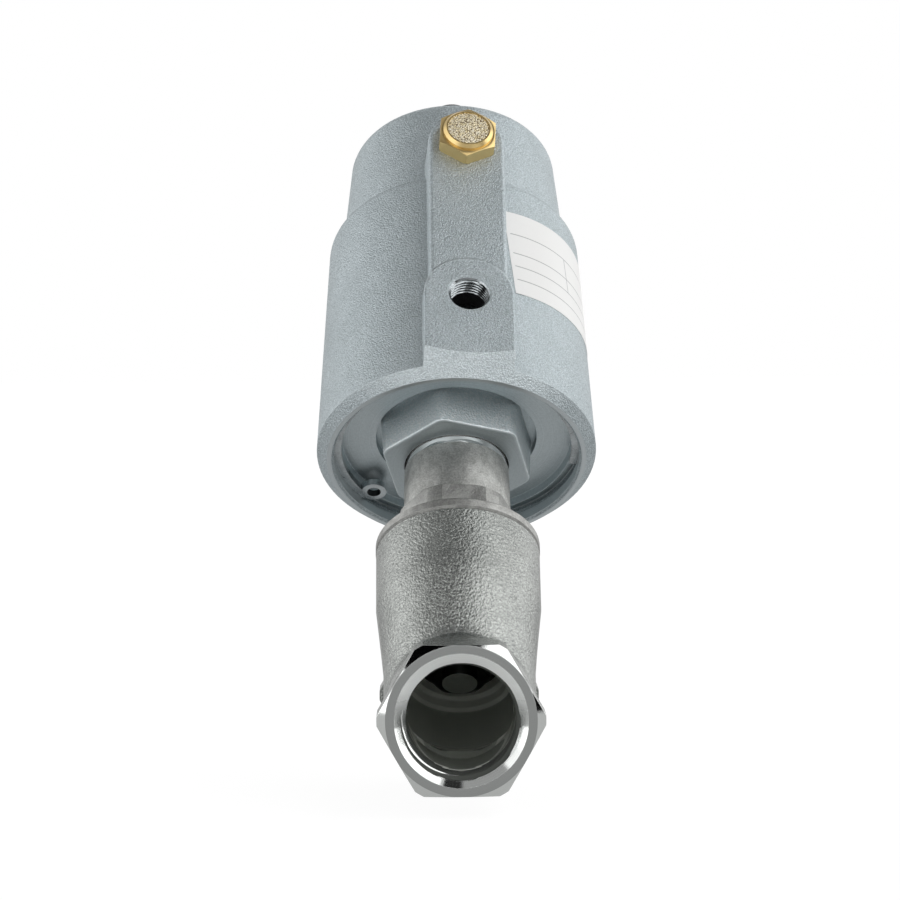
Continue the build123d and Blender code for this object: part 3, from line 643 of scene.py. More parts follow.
class Sheet:
    """A node tree that is written from Python expressions."""

    def __init__(self, tree: bpy.types.NodeTree) -> None:
        """Empty the tree and keep it."""
        self.tree = tree
        tree.nodes.clear()

    def node(
        self,
        kind: str,
        settings: dict[str, object] | None = None,
        inputs: dict[Union[int, str], object] | None = None,
        output: Union[int, str] = 0,
    ) -> Wire:
        """Add one node, set it first, then fill its sockets.

        Args:
            kind: the node's type.
            settings: its attributes.
            inputs: values or wires by socket.
            output: the socket that is returned.

        Returns:
            The wire that leaves the node.
        """
        node = self.tree.nodes.new(kind)
        for name, value in (settings or {}).items():
            setattr(node, name, value)
        for key, value in (inputs or {}).items():
            socket = node.inputs[key]
            if isinstance(value, Wire):
                self.tree.links.new(value.socket, socket)
            elif isinstance(value, tuple) and len(value) == 3 and socket.type == "RGBA":
                socket.default_value = (*value, 1.0)
            else:
                socket.default_value = value
        return Wire(self, node.outputs[output])

    def show(self, kind: str, shader: Wire) -> None:
        """Join a shader to the tree's output node."""
        self.tree.links.new(shader.socket, self.tree.nodes.new(kind).inputs["Surface"])

    def place(self) -> Wire:
        """Give the point of the surface in millimetres."""
        metres = self.node("ShaderNodeTexCoord", output="Object")
        return self.vector("SCALE", metres, scale=1.0 / MM)

    def vector(
        self, operation: str, first: object, second: object = (0.0, 0.0, 0.0), scale: float = 1.0
    ) -> Wire:
        """Apply a Vector Math operation.

        Args:
            operation: the operation's name.
            first: the first vector.
            second: the second vector.
            scale: the factor of the SCALE operation.

        Returns:
            The vector, or the number where the operation gives one.
        """
        number = operation in ("DOT_PRODUCT", "LENGTH", "DISTANCE")
        inputs = {0: first, 3: scale} if operation == "SCALE" else {0: first, 1: second}
        output = "Value" if number else "Vector"
        return self.node("ShaderNodeVectorMath", {"operation": operation}, inputs, output)

    def along(self, place: Wire, direction: np.ndarray, origin: np.ndarray | None = None) -> Wire:
        """Give the distance along a direction, from an origin in millimetres."""
        reach = self.vector("DOT_PRODUCT", place, tuple(map(float, direction)))
        return reach if origin is None else reach - float(origin @ direction)

    def noise(
        self, place: Wire, scale: float, detail: float = 2.0, rough: float = 0.5, twist: float = 0.0
    ) -> Wire:
        """Give fractal noise, with scale in waves to the millimetre."""
        inputs = {"Vector": place, "Scale": scale, "Detail": detail, "Roughness": rough, "Distortion": twist}
        return self.node("ShaderNodeTexNoise", {"noise_dimensions": "3D"}, inputs, "Fac")

    def rings(self, value: Wire, scale: float, detail: float) -> Wire:
        """Give noise that changes with one value alone, as a lathe's marks do."""
        inputs = {"W": value, "Scale": scale, "Detail": detail}
        return self.node("ShaderNodeTexNoise", {"noise_dimensions": "1D"}, inputs, "Fac")

    def cells(self, place: Wire, scale: float, soft: float = 0.0) -> Wire:
        """Give the distance to the nearest scattered point, in cell widths.

        Args:
            place: the point of the surface.
            scale: cells to the millimetre.
            soft: how smoothly the cells meet, where it isn't 0.

        Returns:
            The distance.
        """
        inputs = {"Vector": place, "Scale": scale, **({"Smoothness": soft} if soft else {})}
        feature = "SMOOTH_F1" if soft else "F1"
        return self.node("ShaderNodeTexVoronoi", {"feature": feature}, inputs, "Distance")

    def mix(self, factor: Number, first: object, second: object) -> Wire:
        """Mix two colours."""
        return self.node("ShaderNodeMix", {"data_type": "RGBA"}, {0: factor, 6: first, 7: second}, 2)

    def stem_height(self, place: Wire) -> Wire:
        """Give the height along the stem in millimetres."""
        return self.along(place, STEM.along, STEM.crossing)

    def stem_radius(self, place: Wire, angle: float = 0.0, reach: float = 0.0) -> Wire:
        """Give the distance from the stem's axis, or from an axis beside it.

        Args:
            place: the point of the surface.
            angle: turn of the other axis from the front towards +X, in radians.
            reach: distance of the other axis from the stem's.

        Returns:
            The distance in millimetres.
        """
        front = self.along(place, STEM.front, STEM.crossing)
        side = self.along(place, RIGHT)
        if reach:
            front = front - reach * math.cos(angle)
            side = side - reach * math.sin(angle)
        return (front * front + side * side) ** 0.5

    def pipe_radius(self, place: Wire) -> Wire:
        """Give the distance from the pipe's axis in millimetres."""
        return self.vector("LENGTH", self.vector("MULTIPLY", place, (1.0, 0.0, 1.0)))

    def edge(self, radius: float) -> Wire:
        """Give 0 on open faces and up to 1 along convex and concave edges.

        Args:
            radius: reach of the edge, in millimetres.

        Returns:
            The edge's strength.
        """
        rounded = self.node("ShaderNodeBevel", {"samples": 4}, {"Radius": radius * MM})
        straight = self.node("ShaderNodeNewGeometry", output="Normal")
        return (1.0 - self.vector("DOT_PRODUCT", rounded, straight)).step(0.0, 0.22)


@dataclass
class Recipe:
    """What a finish puts on the shader's sockets.

    Attributes:
        colour: base colour.
        roughness: roughness from 0 to 1.
        metallic: 1 for metal, 0 for the rest.
        height: relief of the surface in millimetres.
        round_edges: radius over which edges are softened, in millimetres.
        constants: other sockets that are the same all over.
    """

    colour: object
    roughness: Number
    metallic: Number = 0.0
    height: Wire | None = None
    round_edges: float = 0.0
    constants: dict[str, object] = field(default_factory=dict)


@dataclass(frozen=True)
class Finish:
    """A finish that writes itself as a material.

    Attributes:
        name: the material's name.
    """

    name: str

    def recipe(self, sheet: Sheet) -> Recipe:
        """Describe the surface on a sheet of nodes."""
        raise NotImplementedError

    def material(self) -> bpy.types.Material:
        """Build the material, or give the one already built.

        Returns:
            The material.
        """
        known = bpy.data.materials.get(self.name)
        if known:
            return known
        material = bpy.data.materials.new(self.name)
        material.use_nodes = True
        sheet = Sheet(material.node_tree)
        made = self.recipe(sheet)
        inputs: dict[Union[int, str], object] = {
            "Base Color": made.colour,
            "Roughness": made.roughness,
            "Metallic": made.metallic,
            **made.constants,
        }
        normal = None
        if made.round_edges:
            normal = sheet.node("ShaderNodeBevel", {"samples": 4}, {"Radius": made.round_edges * MM})
        if made.height is not None:
            links = {"Height": made.height, "Distance": MM, "Strength": 1.0}
            if normal is not None:
                links["Normal"] = normal
            normal = sheet.node("ShaderNodeBump", {}, links)
        if normal is not None:
            inputs["Normal"] = normal
        shader = sheet.node("ShaderNodeBsdfPrincipled", {}, inputs)
        sheet.show("ShaderNodeOutputMaterial", shader)
        return material


# Finishes


@dataclass(frozen=True)
class BodyShape:
    """Sizes of the valve body that its finish follows, in millimetres.

    Attributes:
        half: half the length of the pipe line.
        cone_radius: radius at which the corners' cone meets the end face.
        cone_slope: growth of that cone's radius with depth.
        cone_end: depth at which the cone has left the corners.
        mouth_radius: radius of the mouth's chamfer at the end face.
        mouth_end: depth that the chamfer never reaches.
        bore_radius: a little more than the bore's radius.
        bore_start: depth at which the thread starts.
        thread_end: depth at which the thread ends.
        neck_radius: a little more than the radius of the neck's bore.
        neck_start: height along the stem from which that bore is dark.
        seat_band: inner and outer radius of the ground seat.
        seat_top: a little more than the seat's height.
        brow: heights between which the mouth's chamfer turns dull.
    """

    half: float = 37.5
    cone_radius: float = 16.5
    cone_slope: float = 1.732
    cone_end: float = 1.25
    mouth_radius: float = 14.65
    mouth_end: float = 2.67
    bore_radius: float = 13.27
    bore_start: float = 1.43
    thread_end: float = 15.5
    neck_radius: float = 16.15
    neck_start: float = 13.5
    seat_band: tuple[float, float] = (9.9, 11.9)
    seat_top: float = 12.2
    brow: tuple[float, float] = (-1.0, 8.0)


@dataclass(frozen=True)
class CastStainless(Finish):
    """Blasted investment casting with machined ends, and passages whose thread is near-black as painted
    shade.

    Attributes:
        skin: colours of the hollows and peaks of the grain.
        cut: darker and lighter tone of the machined cones.
        face: tone that the end faces take on.
        passage: darker and lighter tone of the passages.
        mouth: painted shade, the near-black colour of the passage along the thread.
        seat: colour of the ground seat.
        grain: size of the leathery grain, in millimetres.
        soft: radius over which edges are softened, in millimetres.
        shape: the sizes that the finish follows.
    """

    skin: Tones = ((0.265, 0.276, 0.265), (0.43, 0.446, 0.428))
    cut: Tones = ((0.66, 0.68, 0.665), (0.80, 0.82, 0.805))
    face: Colour = (0.20, 0.21, 0.205)
    passage: Tones = ((0.29, 0.31, 0.275), (0.44, 0.465, 0.42))
    mouth: Colour = (0.055, 0.06, 0.053)
    seat: Colour = (0.66, 0.68, 0.63)
    grain: float = 0.62
    soft: float = 0.16
    shape: BodyShape = BodyShape()

    def recipe(self, sheet: Sheet) -> Recipe:
        """Mix the cast skin, the machined ends and the passages, with painted shade along the thread.

        Args:
            sheet: the nodes to write on.

        Returns:
            What the surface puts on the shader's sockets.
        """
        place, body = sheet.place(), self.shape
        radius = sheet.pipe_radius(place)
        height, reach = sheet.stem_height(place), sheet.stem_radius(place)
        depth = body.half - abs(sheet.along(place, AHEAD) - float(STEM.crossing[1]))
        leather = sheet.noise(place, 1.0 / self.grain, 3.0, 0.55, 0.4)
        pits = sheet.cells(place, 1.2 / self.grain, 0.6)
        clouds = sheet.noise(place, 0.07, 3.0, 0.5)
        fine = sheet.noise(place, 5.0, 1.0, 0.5)
        rings = sheet.rings(radius, 7.0, 2.0)
        end_face = depth.below(0.035, 0.015)
        cone = abs(radius - body.cone_radius - depth * body.cone_slope).below(0.075, 0.025)
        cone = cone * depth.below(body.cone_end, 0.05)
        mouth = abs(radius - body.mouth_radius + depth).below(0.075, 0.025)
        mouth = mouth * depth.below(body.mouth_end, 0.05)
        bore = radius.below(body.bore_radius, 0.03) * depth.above(body.bore_start, 0.03) * (1.0 - mouth)
        neck = reach.below(body.neck_radius, 0.05) * height.above(body.neck_start, 0.5)
        hollow = bore.most(neck)
        machined = end_face.most(cone).most(mouth)
        brow = mouth * sheet.along(place, UP).step(*body.brow)
        seat = reach.within(*body.seat_band, 0.15) * height.below(body.seat_top, 0.1)
        skin = sheet.mix((leather * 0.6 + clouds * 0.4).step(0.30, 0.70), *self.skin)
        bright = sheet.mix(end_face * 0.62, sheet.mix(rings, *self.cut), self.face)
        # Painted shade: the passage along the thread, and the thread linings that use this finish, turn
        # near-black.
        passage = sheet.mix(depth.below(body.thread_end, 1.0), sheet.mix(clouds, *self.passage), self.mouth)
        passage = sheet.mix(seat, passage, self.seat)
        colour = sheet.mix(hollow, sheet.mix(machined, skin, bright), passage)
        rough = (leather * 0.12 + 0.17).where(machined, rings * 0.04 + 0.06)
        rough = rough.where(hollow, 0.66) + brow * 0.30
        relief = (leather * 0.27 + (0.6 - pits) * 0.08) * (1.0 - machined) * (1.0 - hollow)
        relief = relief + fine * 0.004 + rings * machined * 0.003
        return Recipe(colour, rough, 1.0 - hollow * 0.8 - brow * 0.85, relief, round_edges=self.soft)


@dataclass(frozen=True)
class TurnedStainless(Finish):
    """Fine turned steel, with a grain that a blasted skin keeps.

    Attributes:
        tones: darker and lighter tone.
        blasted: share of the blasted grain.
        band: heights along the stem between which the steel is polished.
        soft: radius over which edges are softened, in millimetres.
        shine: colour of the polished band.
        shadow: colour of a painted shadow on a blasted part near its foot.
        foot: height along the stem below which that shadow is painted.
    """

    tones: Tones = ((0.52, 0.53, 0.52), (0.66, 0.67, 0.66))
    blasted: float = 0.0
    band: tuple[float, float] = (0.0, 0.0)
    soft: float = 0.12
    shine: Colour = (0.80, 0.81, 0.80)
    shadow: Colour = (0.05, 0.05, 0.05)
    foot: float = 53.2

    def recipe(self, sheet: Sheet) -> Recipe:
        """Mix turning marks, blasted grain, the polished band and a painted shadow at a blasted part's foot.

        Args:
            sheet: the nodes to write on.

        Returns:
            What the surface puts on the shader's sockets.
        """
        place = sheet.place()
        height = sheet.stem_height(place)
        marks = sheet.rings(height, 6.0, 3.0)
        grain = sheet.noise(place, 2.6, 3.0, 0.6, 0.3)
        clouds = sheet.noise(place, 0.30, 3.0, 0.6, 0.5)
        polish = height.within(*self.band, 0.03) if self.band[1] > self.band[0] else height * 0.0
        skin = self.blasted * (1.0 - polish)
        tone = (marks * 0.7 + clouds * 0.3).where(skin, grain * 0.5 + clouds * 0.5)
        colour = sheet.mix(tone.step(0.32, 0.68), *self.tones)
        # Painted shadow: a blasted part darkens towards black below its foot.
        colour = sheet.mix(height.below(self.foot, 0.2) * self.blasted * 0.36, colour, self.shadow)
        colour = sheet.mix(polish, colour, self.shine)
        rough = (skin * 0.16 + grain * skin * 0.14 + marks * 0.06 + 0.14).where(polish, 0.04)
        relief = grain * skin * 0.12 + marks * (1.0 - polish) * (1.0 - skin) * 0.004
        return Recipe(colour, rough, 1.0, relief, round_edges=self.soft)


@dataclass(frozen=True)
class HousingShape:
    """Sizes of the housing that its finish follows, in millimetres.

    Attributes:
        face: height of its lower face along the stem.
        foot_top: height below which the sloped foot of the rib is painted lighter.
        foot_reach: distances from the axis over which that sets in.
        hole_radius: a little more than the radius of the air port.
        hole_reach: distance from the axis at which the port's mouth lies.
        pad_reach: distance from the axis at which the pad's face lies.
        pad_foot: height above which the pad ends in an arc.
        pad_radius: a little more than the radius of that arc.
        arch_radius: radius of the arc's painted highlight line.
        shade_radius: radius of the painted shadow line round it.
        bore_radius: a little more than the radius of the cylinder bore.
        bore_top: height up to which the bore is turned bright.
    """

    face: float = 70.0
    foot_top: float = 81.5
    foot_reach: tuple[float, float] = (20.0, 31.0)
    hole_radius: float = 4.925
    hole_reach: float = 34.45
    pad_reach: float = 33.4
    pad_foot: float = 93.4
    pad_radius: float = 12.25
    arch_radius: float = 10.35
    shade_radius: float = 10.95
    bore_radius: float = 29.2
    bore_top: float = 80.5


@dataclass(frozen=True)
class CastAluminium(Finish):
    """Die casting with a fine blasted skin, edges lighter by wear and painted highlight, and painted light
    and shade in places.

    Attributes:
        skin: colours of the hollows and peaks of the skin.
        foot: painted light, lighter colours of the hollows and peaks on the rib's downward sloped foot.
        cut: darker and lighter tone of the turned faces.
        wear_and_highlight: colour of the edges, lighter by wear and painted highlight, of the arc's painted
            highlight line and of single bright grains.
        painted_hole_shade: painted shade, the near-black colour inside the air port.
        shape: the sizes that the finish follows.
    """

    skin: Tones = ((0.385, 0.432, 0.449), (0.635, 0.700, 0.727))
    foot: Tones = ((0.57, 0.63, 0.65), (0.86, 0.925, 0.95))
    cut: Tones = ((0.46, 0.50, 0.515), (0.62, 0.67, 0.685))
    wear_and_highlight: Colour = (0.80, 0.85, 0.87)
    painted_hole_shade: Colour = (0.035, 0.037, 0.038)
    shape: HousingShape = HousingShape()

    def recipe(self, sheet: Sheet) -> Recipe:
        """Mix the blasted skin with edges lighter by wear and painted highlight, turned faces, and painted
        light and shade.

        Args:
            sheet: the nodes to write on.

        Returns:
            What the surface puts on the shader's sockets.
        """
        place, shape = sheet.place(), self.shape
        height = sheet.stem_height(place)
        radius = sheet.stem_radius(place)
        off = sheet.vector("SUBTRACT", place, tuple(map(float, AIR_PORT.origin)))
        out = sheet.along(off, AIR_PORT.along)
        away = (sheet.vector("DOT_PRODUCT", off, off) - out * out) ** 0.5
        speck = sheet.cells(place, 2.7, 0.2)
        grain = sheet.noise(place, 2.4, 2.0, 0.6)
        spark = sheet.cells(place, 2.3).below(0.22, 0.08)
        clouds = sheet.noise(place, 0.10, 3.0, 0.55, 0.4)
        rings = sheet.rings(radius + height, 5.0, 3.0)
        edge = sheet.edge(0.40)
        facing = sheet.node("ShaderNodeTexCoord", output="Normal")
        # Painted light: faces of the rib's foot that slope downwards take the lighter foot colours.
        sloped = sheet.along(facing, STEM.along).below(-0.375, 0.075)
        foot = sloped * out.step(*shape.foot_reach) * height.below(shape.foot_top, 0.5)
        # Painted shade: inside the air port the housing turns near-black and less metallic.
        painted_hole_shade = away.below(shape.hole_radius, 0.025) * out.below(shape.hole_reach, 0.05)
        pad = out.above(shape.pad_reach, 0.2) * height.above(shape.pad_foot, 1.0)
        upper = pad * away.below(shape.pad_radius, 0.25)
        # Painted highlight: a light line along the top of the pad's arc.
        arch_highlight = abs(away - shape.arch_radius).below(0.20, 0.15) * upper
        shade = abs(away - shape.shade_radius).below(0.275, 0.175) * upper
        drop = away.above(shape.shade_radius - 0.25, 0.25) * pad
        inside = radius.below(shape.bore_radius, 0.05) * height.below(shape.bore_top, 0.5)
        turned = height.below(shape.face + 0.045, 0.015).most(inside)
        tone = (grain * 0.55 + (0.75 - speck) * 0.45 + clouds * 0.20).step(0.28, 0.86)
        skin = sheet.mix(foot, sheet.mix(tone, *self.skin), sheet.mix(tone, *self.foot))
        # Edges lighten by wear and by painted highlight; the arc round the pad is a painted highlight line.
        skin = sheet.mix((edge * 0.5).most(arch_highlight * 0.3).most(spark * 0.6), skin, self.wear_and_highlight)
        # Painted shadow: a dark line just outside the pad's arc.
        skin = sheet.mix(shade * 0.25, skin, self.skin[0])
        colour = sheet.mix(painted_hole_shade, sheet.mix(turned, skin, sheet.mix(rings, *self.cut)), self.painted_hole_shade)
        rough = (grain * 0.12 + 0.50 - edge * 0.10).where(turned, rings * 0.12 + 0.26)
        relief = ((0.6 - speck) * 0.13 + grain * 0.03).where(turned, rings * 0.004) - drop * 0.14
        return Recipe(colour, rough, 1.0 - painted_hole_shade * 0.9, relief, round_edges=0.2)


@dataclass(frozen=True)
class CoverAluminium(Finish):
    """Cover with turned faces and rough cast flats on its hexagon boss.

    Attributes:
        plain: darker and lighter tone of the turned faces.
        cast: the same of the boss's rough cast flats, near white: lighter than the turned faces, and lifted
            further as painted light where the flats lie in shade.
        front: painted shade, the darker tone on the boss's front face.
        wear_and_highlight: colour of the edges, lighter by wear and painted highlight.
        boss: heights along the stem between which the flats are.
        boss_band: inner and outer radius of the boss.
        boss_front: height below which its front face lies.
    """

    plain: Tones = ((0.43, 0.485, 0.50), (0.58, 0.635, 0.655))
    cast: Tones = ((0.78, 0.85, 0.87), (1.0, 1.0, 1.0))
    front: Colour = (0.26, 0.30, 0.31)
    wear_and_highlight: Colour = (0.80, 0.84, 0.86)
    boss: tuple[float, float] = (68.15, 78.8)
    boss_band: tuple[float, float] = (12.6, 19.05)
    boss_front: float = 68.7

    def recipe(self, sheet: Sheet) -> Recipe:
        """Mix the turned annulus with the boss's rough flats.

        Args:
            sheet: the nodes to write on.

        Returns:
            What the surface puts on the shader's sockets.
        """
        place = sheet.place()
        height = sheet.stem_height(place)
        radius = sheet.stem_radius(place)
        rings = sheet.rings(radius, 3.5, 3.0)
        speck = sheet.cells(place, 2.0, 0.3)
        grain = sheet.noise(place, 1.9, 3.0, 0.6)
        edge = sheet.edge(0.35)
        flats = height.within(*self.boss, 0.15) * radius.within(*self.boss_band, 0.1)
        tone = (rings * 0.4 + grain * 0.6).where(flats, grain * 0.6 + (0.7 - speck) * 0.5)
        plain = sheet.mix(tone.step(0.2, 0.8), *self.plain)
        # Painted shade: the boss's front face darkens towards the front tone.
        plain = sheet.mix(height.below(self.boss_front, 0.3) * 0.3, plain, self.front)
        # The flats are lighter rough casting and, in part, painted light that lifts them out of their shade.
        cast = sheet.mix(tone.step(0.25, 0.85), *self.cast)
        # Edges lighten by wear and by painted highlight.
        colour = sheet.mix(edge * 0.6, sheet.mix(flats, plain, cast), self.wear_and_highlight)
        rough = (rings * 0.08 + grain * 0.08 + 0.36).where(flats, grain * 0.15 + 0.50)
        relief = (rings * 0.002 + grain * 0.012).where(flats, (0.6 - speck) * 0.11 + grain * 0.10)
        return Recipe(colour, rough, 1.0, relief, round_edges=0.2)


@dataclass(frozen=True)
class SpringSteel(Finish):
    """Drawn spring wire or a stamped ring, oiled and slightly dark.

    Attributes:
        colour: its middle tone.
        painted_hole_shade: painted shade, the near-black colour inside the ring's eye.
    """

    colour: Colour = (0.42, 0.43, 0.44)
    painted_hole_shade: Colour = (0.03, 0.03, 0.03)

    def recipe(self, sheet: Sheet) -> Recipe:
        """Vary the steel with drawing marks and thin patches of oil, and paint shade inside the ring's eye.

        Args:
            sheet: the nodes to write on.

        Returns:
            What the surface puts on the shader's sockets.
        """
        place = sheet.place()
        marks = sheet.noise(place, 2.5, 3.0, 0.6)
        patches = sheet.noise(place, 0.25, 2.0, 0.5)
        tone = (marks * 0.4 + patches * 0.6).step(0.3, 0.7)
        colour = sheet.mix(tone, tuple(v * 0.7 for v in self.colour), tuple(v * 1.25 for v in self.colour))
        # Painted shade: the ring's eye is near-black inside.
        eye = sheet.stem_radius(place, EYE_ANGLE, EYE_REACH).below(EYE_HOLE, 0.05)
        colour = sheet.mix(eye, colour, self.painted_hole_shade)
        return Recipe(colour, patches * 0.18 + 0.20, 1.0, marks * 0.004, round_edges=0.15)


@dataclass(frozen=True)
class Brass(Finish):
    """Turned and milled brass.

    Attributes:
        tones: colours of its tarnished and bright patches.
    """

    tones: Tones = ((0.44, 0.375, 0.19), (0.92, 0.84, 0.62))

    def recipe(self, sheet: Sheet) -> Recipe:
        """Vary the brass with milling marks and light tarnish.

        Args:
            sheet: the nodes to write on.

        Returns:
            What the surface puts on the shader's sockets.
        """
        place = sheet.place()
        marks = sheet.noise(sheet.vector("MULTIPLY", place, (6.0, 1.0, 1.0)), 1.2, 2.0, 0.6)
        tarnish = sheet.noise(place, 0.8, 3.0, 0.6)
        fleck = sheet.noise(place, 2.4, 2.0, 0.6)
        colour = sheet.mix((marks * 0.2 + tarnish * 0.4 + fleck * 0.4).step(0.38, 0.62), *self.tones)
        return Recipe(colour, tarnish * 0.06 + 0.04, 1.0, marks * 0.003 + fleck * 0.006, round_edges=0.22)


@dataclass(frozen=True)
class SinteredBronze(Finish):
    """Bronze grains sintered together, with pores darkened by painted shade.

    Attributes:
        tones: darker and lighter colour of the grains.
        pore: painted shade, the dark colour between them.
        grain: size of a grain, in millimetres.
    """

    tones: Tones = ((0.84, 0.72, 0.44), (1.0, 0.94, 0.78))
    pore: Colour = (0.26, 0.20, 0.12)
    grain: float = 0.36

    def recipe(self, sheet: Sheet) -> Recipe:
        """Round each grain and paint shade into the pores between grains.

        Args:
            sheet: the nodes to write on.

        Returns:
            What the surface puts on the shader's sockets.
        """
        place = sheet.place()
        cell = sheet.cells(place, 1.0 / self.grain)
        worm = sheet.noise(place, 1.5 / self.grain, 2.0, 0.5, 1.2)
        tint = sheet.noise(place, 1.2, 2.0, 0.6)
        # Painted shade: the pores between the grains are dark.
        pore = cell.step(0.50, 0.74).most(worm.step(0.44, 0.37))
        colour = sheet.mix(pore, sheet.mix(tint.step(0.3, 0.7), *self.tones), self.pore)
        return Recipe(colour, tint * 0.2 + 0.34, 0.7, (0.5 - cell * cell) * 0.14)


@dataclass(frozen=True)
class SmokedPlastic(Finish):
    """Dark plastic with a dull gloss and faint moulding flow.

    Attributes:
        tones: darker and lighter tone.
    """

    tones: Tones = ((0.075, 0.08, 0.085), (0.1125, 0.12, 0.1275))

    def recipe(self, sheet: Sheet) -> Recipe:
        """Vary the tint and the gloss softly.

        Args:
            sheet: the nodes to write on.

        Returns:
            What the surface puts on the shader's sockets.
        """
        place = sheet.place()
        flow = sheet.noise(place, 0.3, 3.0, 0.5, 0.6)
        dust = sheet.noise(place, 4.0, 2.0, 0.6)
        relief = flow * 0.01 + dust * 0.002
        colour = sheet.mix(flow, *self.tones)
        return Recipe(colour, dust * 0.08 + 0.40, 0.0, relief, round_edges=0.25, constants={"IOR": 1.56})


@dataclass(frozen=True)
class LabelFilm(Finish):
    """White printed film with ruled lines and no words.

    Attributes:
        film: darker and lighter white of the film.
        ink: colour of the lines.
        width: width of the label, in millimetres.
        height: height of the label, in millimetres.
        margin: distance of the ruled lines from the left and right edge.
        rules: distances of the ruled lines from the top edge, in millimetres.
        column: distance of the upright line from the left edge.
        line: width of a line.
    """

    film: Tones = ((0.768, 0.768, 0.7584), (0.80, 0.80, 0.79))
    ink: Colour = (0.20, 0.21, 0.22)
    width: float = LABEL_WIDTH
    height: float = LABEL_HEIGHT
    margin: float = 1.0
    rules: tuple[float, ...] = (7.0, 13.1, 17.2, 21.4)
    column: float = 18.8
    line: float = 0.22

    def recipe(self, sheet: Sheet) -> Recipe:
        """Rule the film by its own map, in millimetres from the top left.

        Args:
            sheet: the nodes to write on.

        Returns:
            What the surface puts on the shader's sockets.
        """
        uv = sheet.node("ShaderNodeUVMap", {"uv_map": "film"})
        across = sheet.along(uv, RIGHT * self.width)
        down = self.height - sheet.along(uv, AHEAD * self.height)
        inside = across.within(self.margin, self.width - self.margin, 0.03)
        half = self.line / 2
        ink: Wire = across.within(self.column - half, self.column + half, 0.04)
        ink = ink * down.within(self.rules[0], self.rules[2], 0.03)
        for rule in self.rules:
            ink = ink.most(down.within(rule - half, rule + half, 0.04) * inside)
        place = sheet.place()
        fibre = sheet.noise(place, 1.4, 3.0, 0.6)
        grain = sheet.noise(place, 2.6, 2.0, 0.6)
        colour = sheet.mix(ink * 0.85, sheet.mix(fibre, *self.film), self.ink)
        return Recipe(colour, fibre * 0.10 + 0.36, 0.0, grain * 0.012, constants={"IOR": 1.46})


@dataclass(frozen=True)
class Moulded(Finish):
    """Waxy, machined or rubbery material of the hidden seals and guides.

    Attributes:
        colour: its colour.
        rough: its roughness.
        grain: waves of its grain to the millimetre.
        depth: depth of the grain, in millimetres.
    """

    colour: Colour = (0.9, 0.9, 0.88)
    rough: float = 0.45
    grain: float = 1.5
    depth: float = 0.01

    def recipe(self, sheet: Sheet) -> Recipe:
        """Vary the tone, gloss and relief with a fine grain.

        Args:
            sheet: the nodes to write on.

        Returns:
            What the surface puts on the shader's sockets.
        """
        place = sheet.place()
        grain = sheet.noise(place, self.grain, 3.0, 0.6)
        clouds = sheet.noise(place, 0.2, 2.0, 0.5)
        low = tuple(v * 0.86 for v in self.colour)
        colour = sheet.mix((grain * 0.5 + clouds * 0.5).step(0.3, 0.7), low, self.colour)
        return Recipe(colour, grain * 0.12 + (self.rough - 0.06), 0.0, grain * self.depth)


FINISHES: dict[Slot, Finish] = {
    Slot.CAST_STAINLESS: CastStainless("cast stainless"),
    Slot.TURNED_STAINLESS: TurnedStainless("turned stainless"),
    Slot.SPRING_STEEL: SpringSteel("spring steel"),
    Slot.CAST_ALUMINIUM: CastAluminium("cast aluminium"),
    Slot.COVER_ALUMINIUM: CoverAluminium("cover aluminium"),
    Slot.BRASS: Brass("brass"),
    Slot.SINTERED_BRONZE: SinteredBronze("sintered bronze"),
    Slot.SMOKED_PLASTIC: SmokedPlastic("smoked plastic"),
    Slot.LABEL_FILM: LabelFilm("label film"),
    Slot.PTFE: Moulded("ptfe", (0.90, 0.90, 0.88), 0.40, 1.2, 0.006),
    Slot.GUIDE_PLASTIC: Moulded("guide plastic", (0.18, 0.18, 0.18), 0.42, 2.0, 0.008),
    Slot.SEAL_RUBBER: Moulded("seal rubber", (0.045, 0.045, 0.045), 0.55, 2.5, 0.012),
}
# Painted shade: the disc, its washer and its nut inside the body are near-black.
INNER_SHADE_TONES: Tones = ((0.018, 0.020, 0.017), (0.034, 0.037, 0.032))
INNER_SHADE_FINISH = TurnedStainless("wetted stainless", INNER_SHADE_TONES)
BONNET_TONES: Tones = ((0.37, 0.372, 0.357), (0.70, 0.705, 0.68))
BONNET_FINISH = TurnedStainless("blasted bonnet", BONNET_TONES, blasted=1.0, band=(65.93, 67.95))
CUT_TONES: Tones = ((0.22, 0.24, 0.25), (0.42, 0.45, 0.46))
CUT_FINISH = TurnedStainless("cut aluminium", CUT_TONES, soft=0.0)
THREAD_FINISH = CastStainless("thread stainless", soft=0.0)
RING_FINISH = SpringSteel("stamped ring", (0.40, 0.43, 0.44))


# Pieces


@dataclass(frozen=True)
class ThreadForm:
    """Sizes of a parallel pipe thread, in millimetres.

    Attributes:
        root: radius of the bore.
        crest: radius of the thread's crests.
        pitch: rise of one turn.
    """

    root: float
    crest: float
    pitch: float


PIPE_THREAD = ThreadForm(MOUNTS["inlet_port"]["dims"]["r_mm"], 12.06, 1.814)
AIR_THREAD = ThreadForm(MOUNTS["air_port"]["dims"]["r_mm"], 4.283, 0.907)


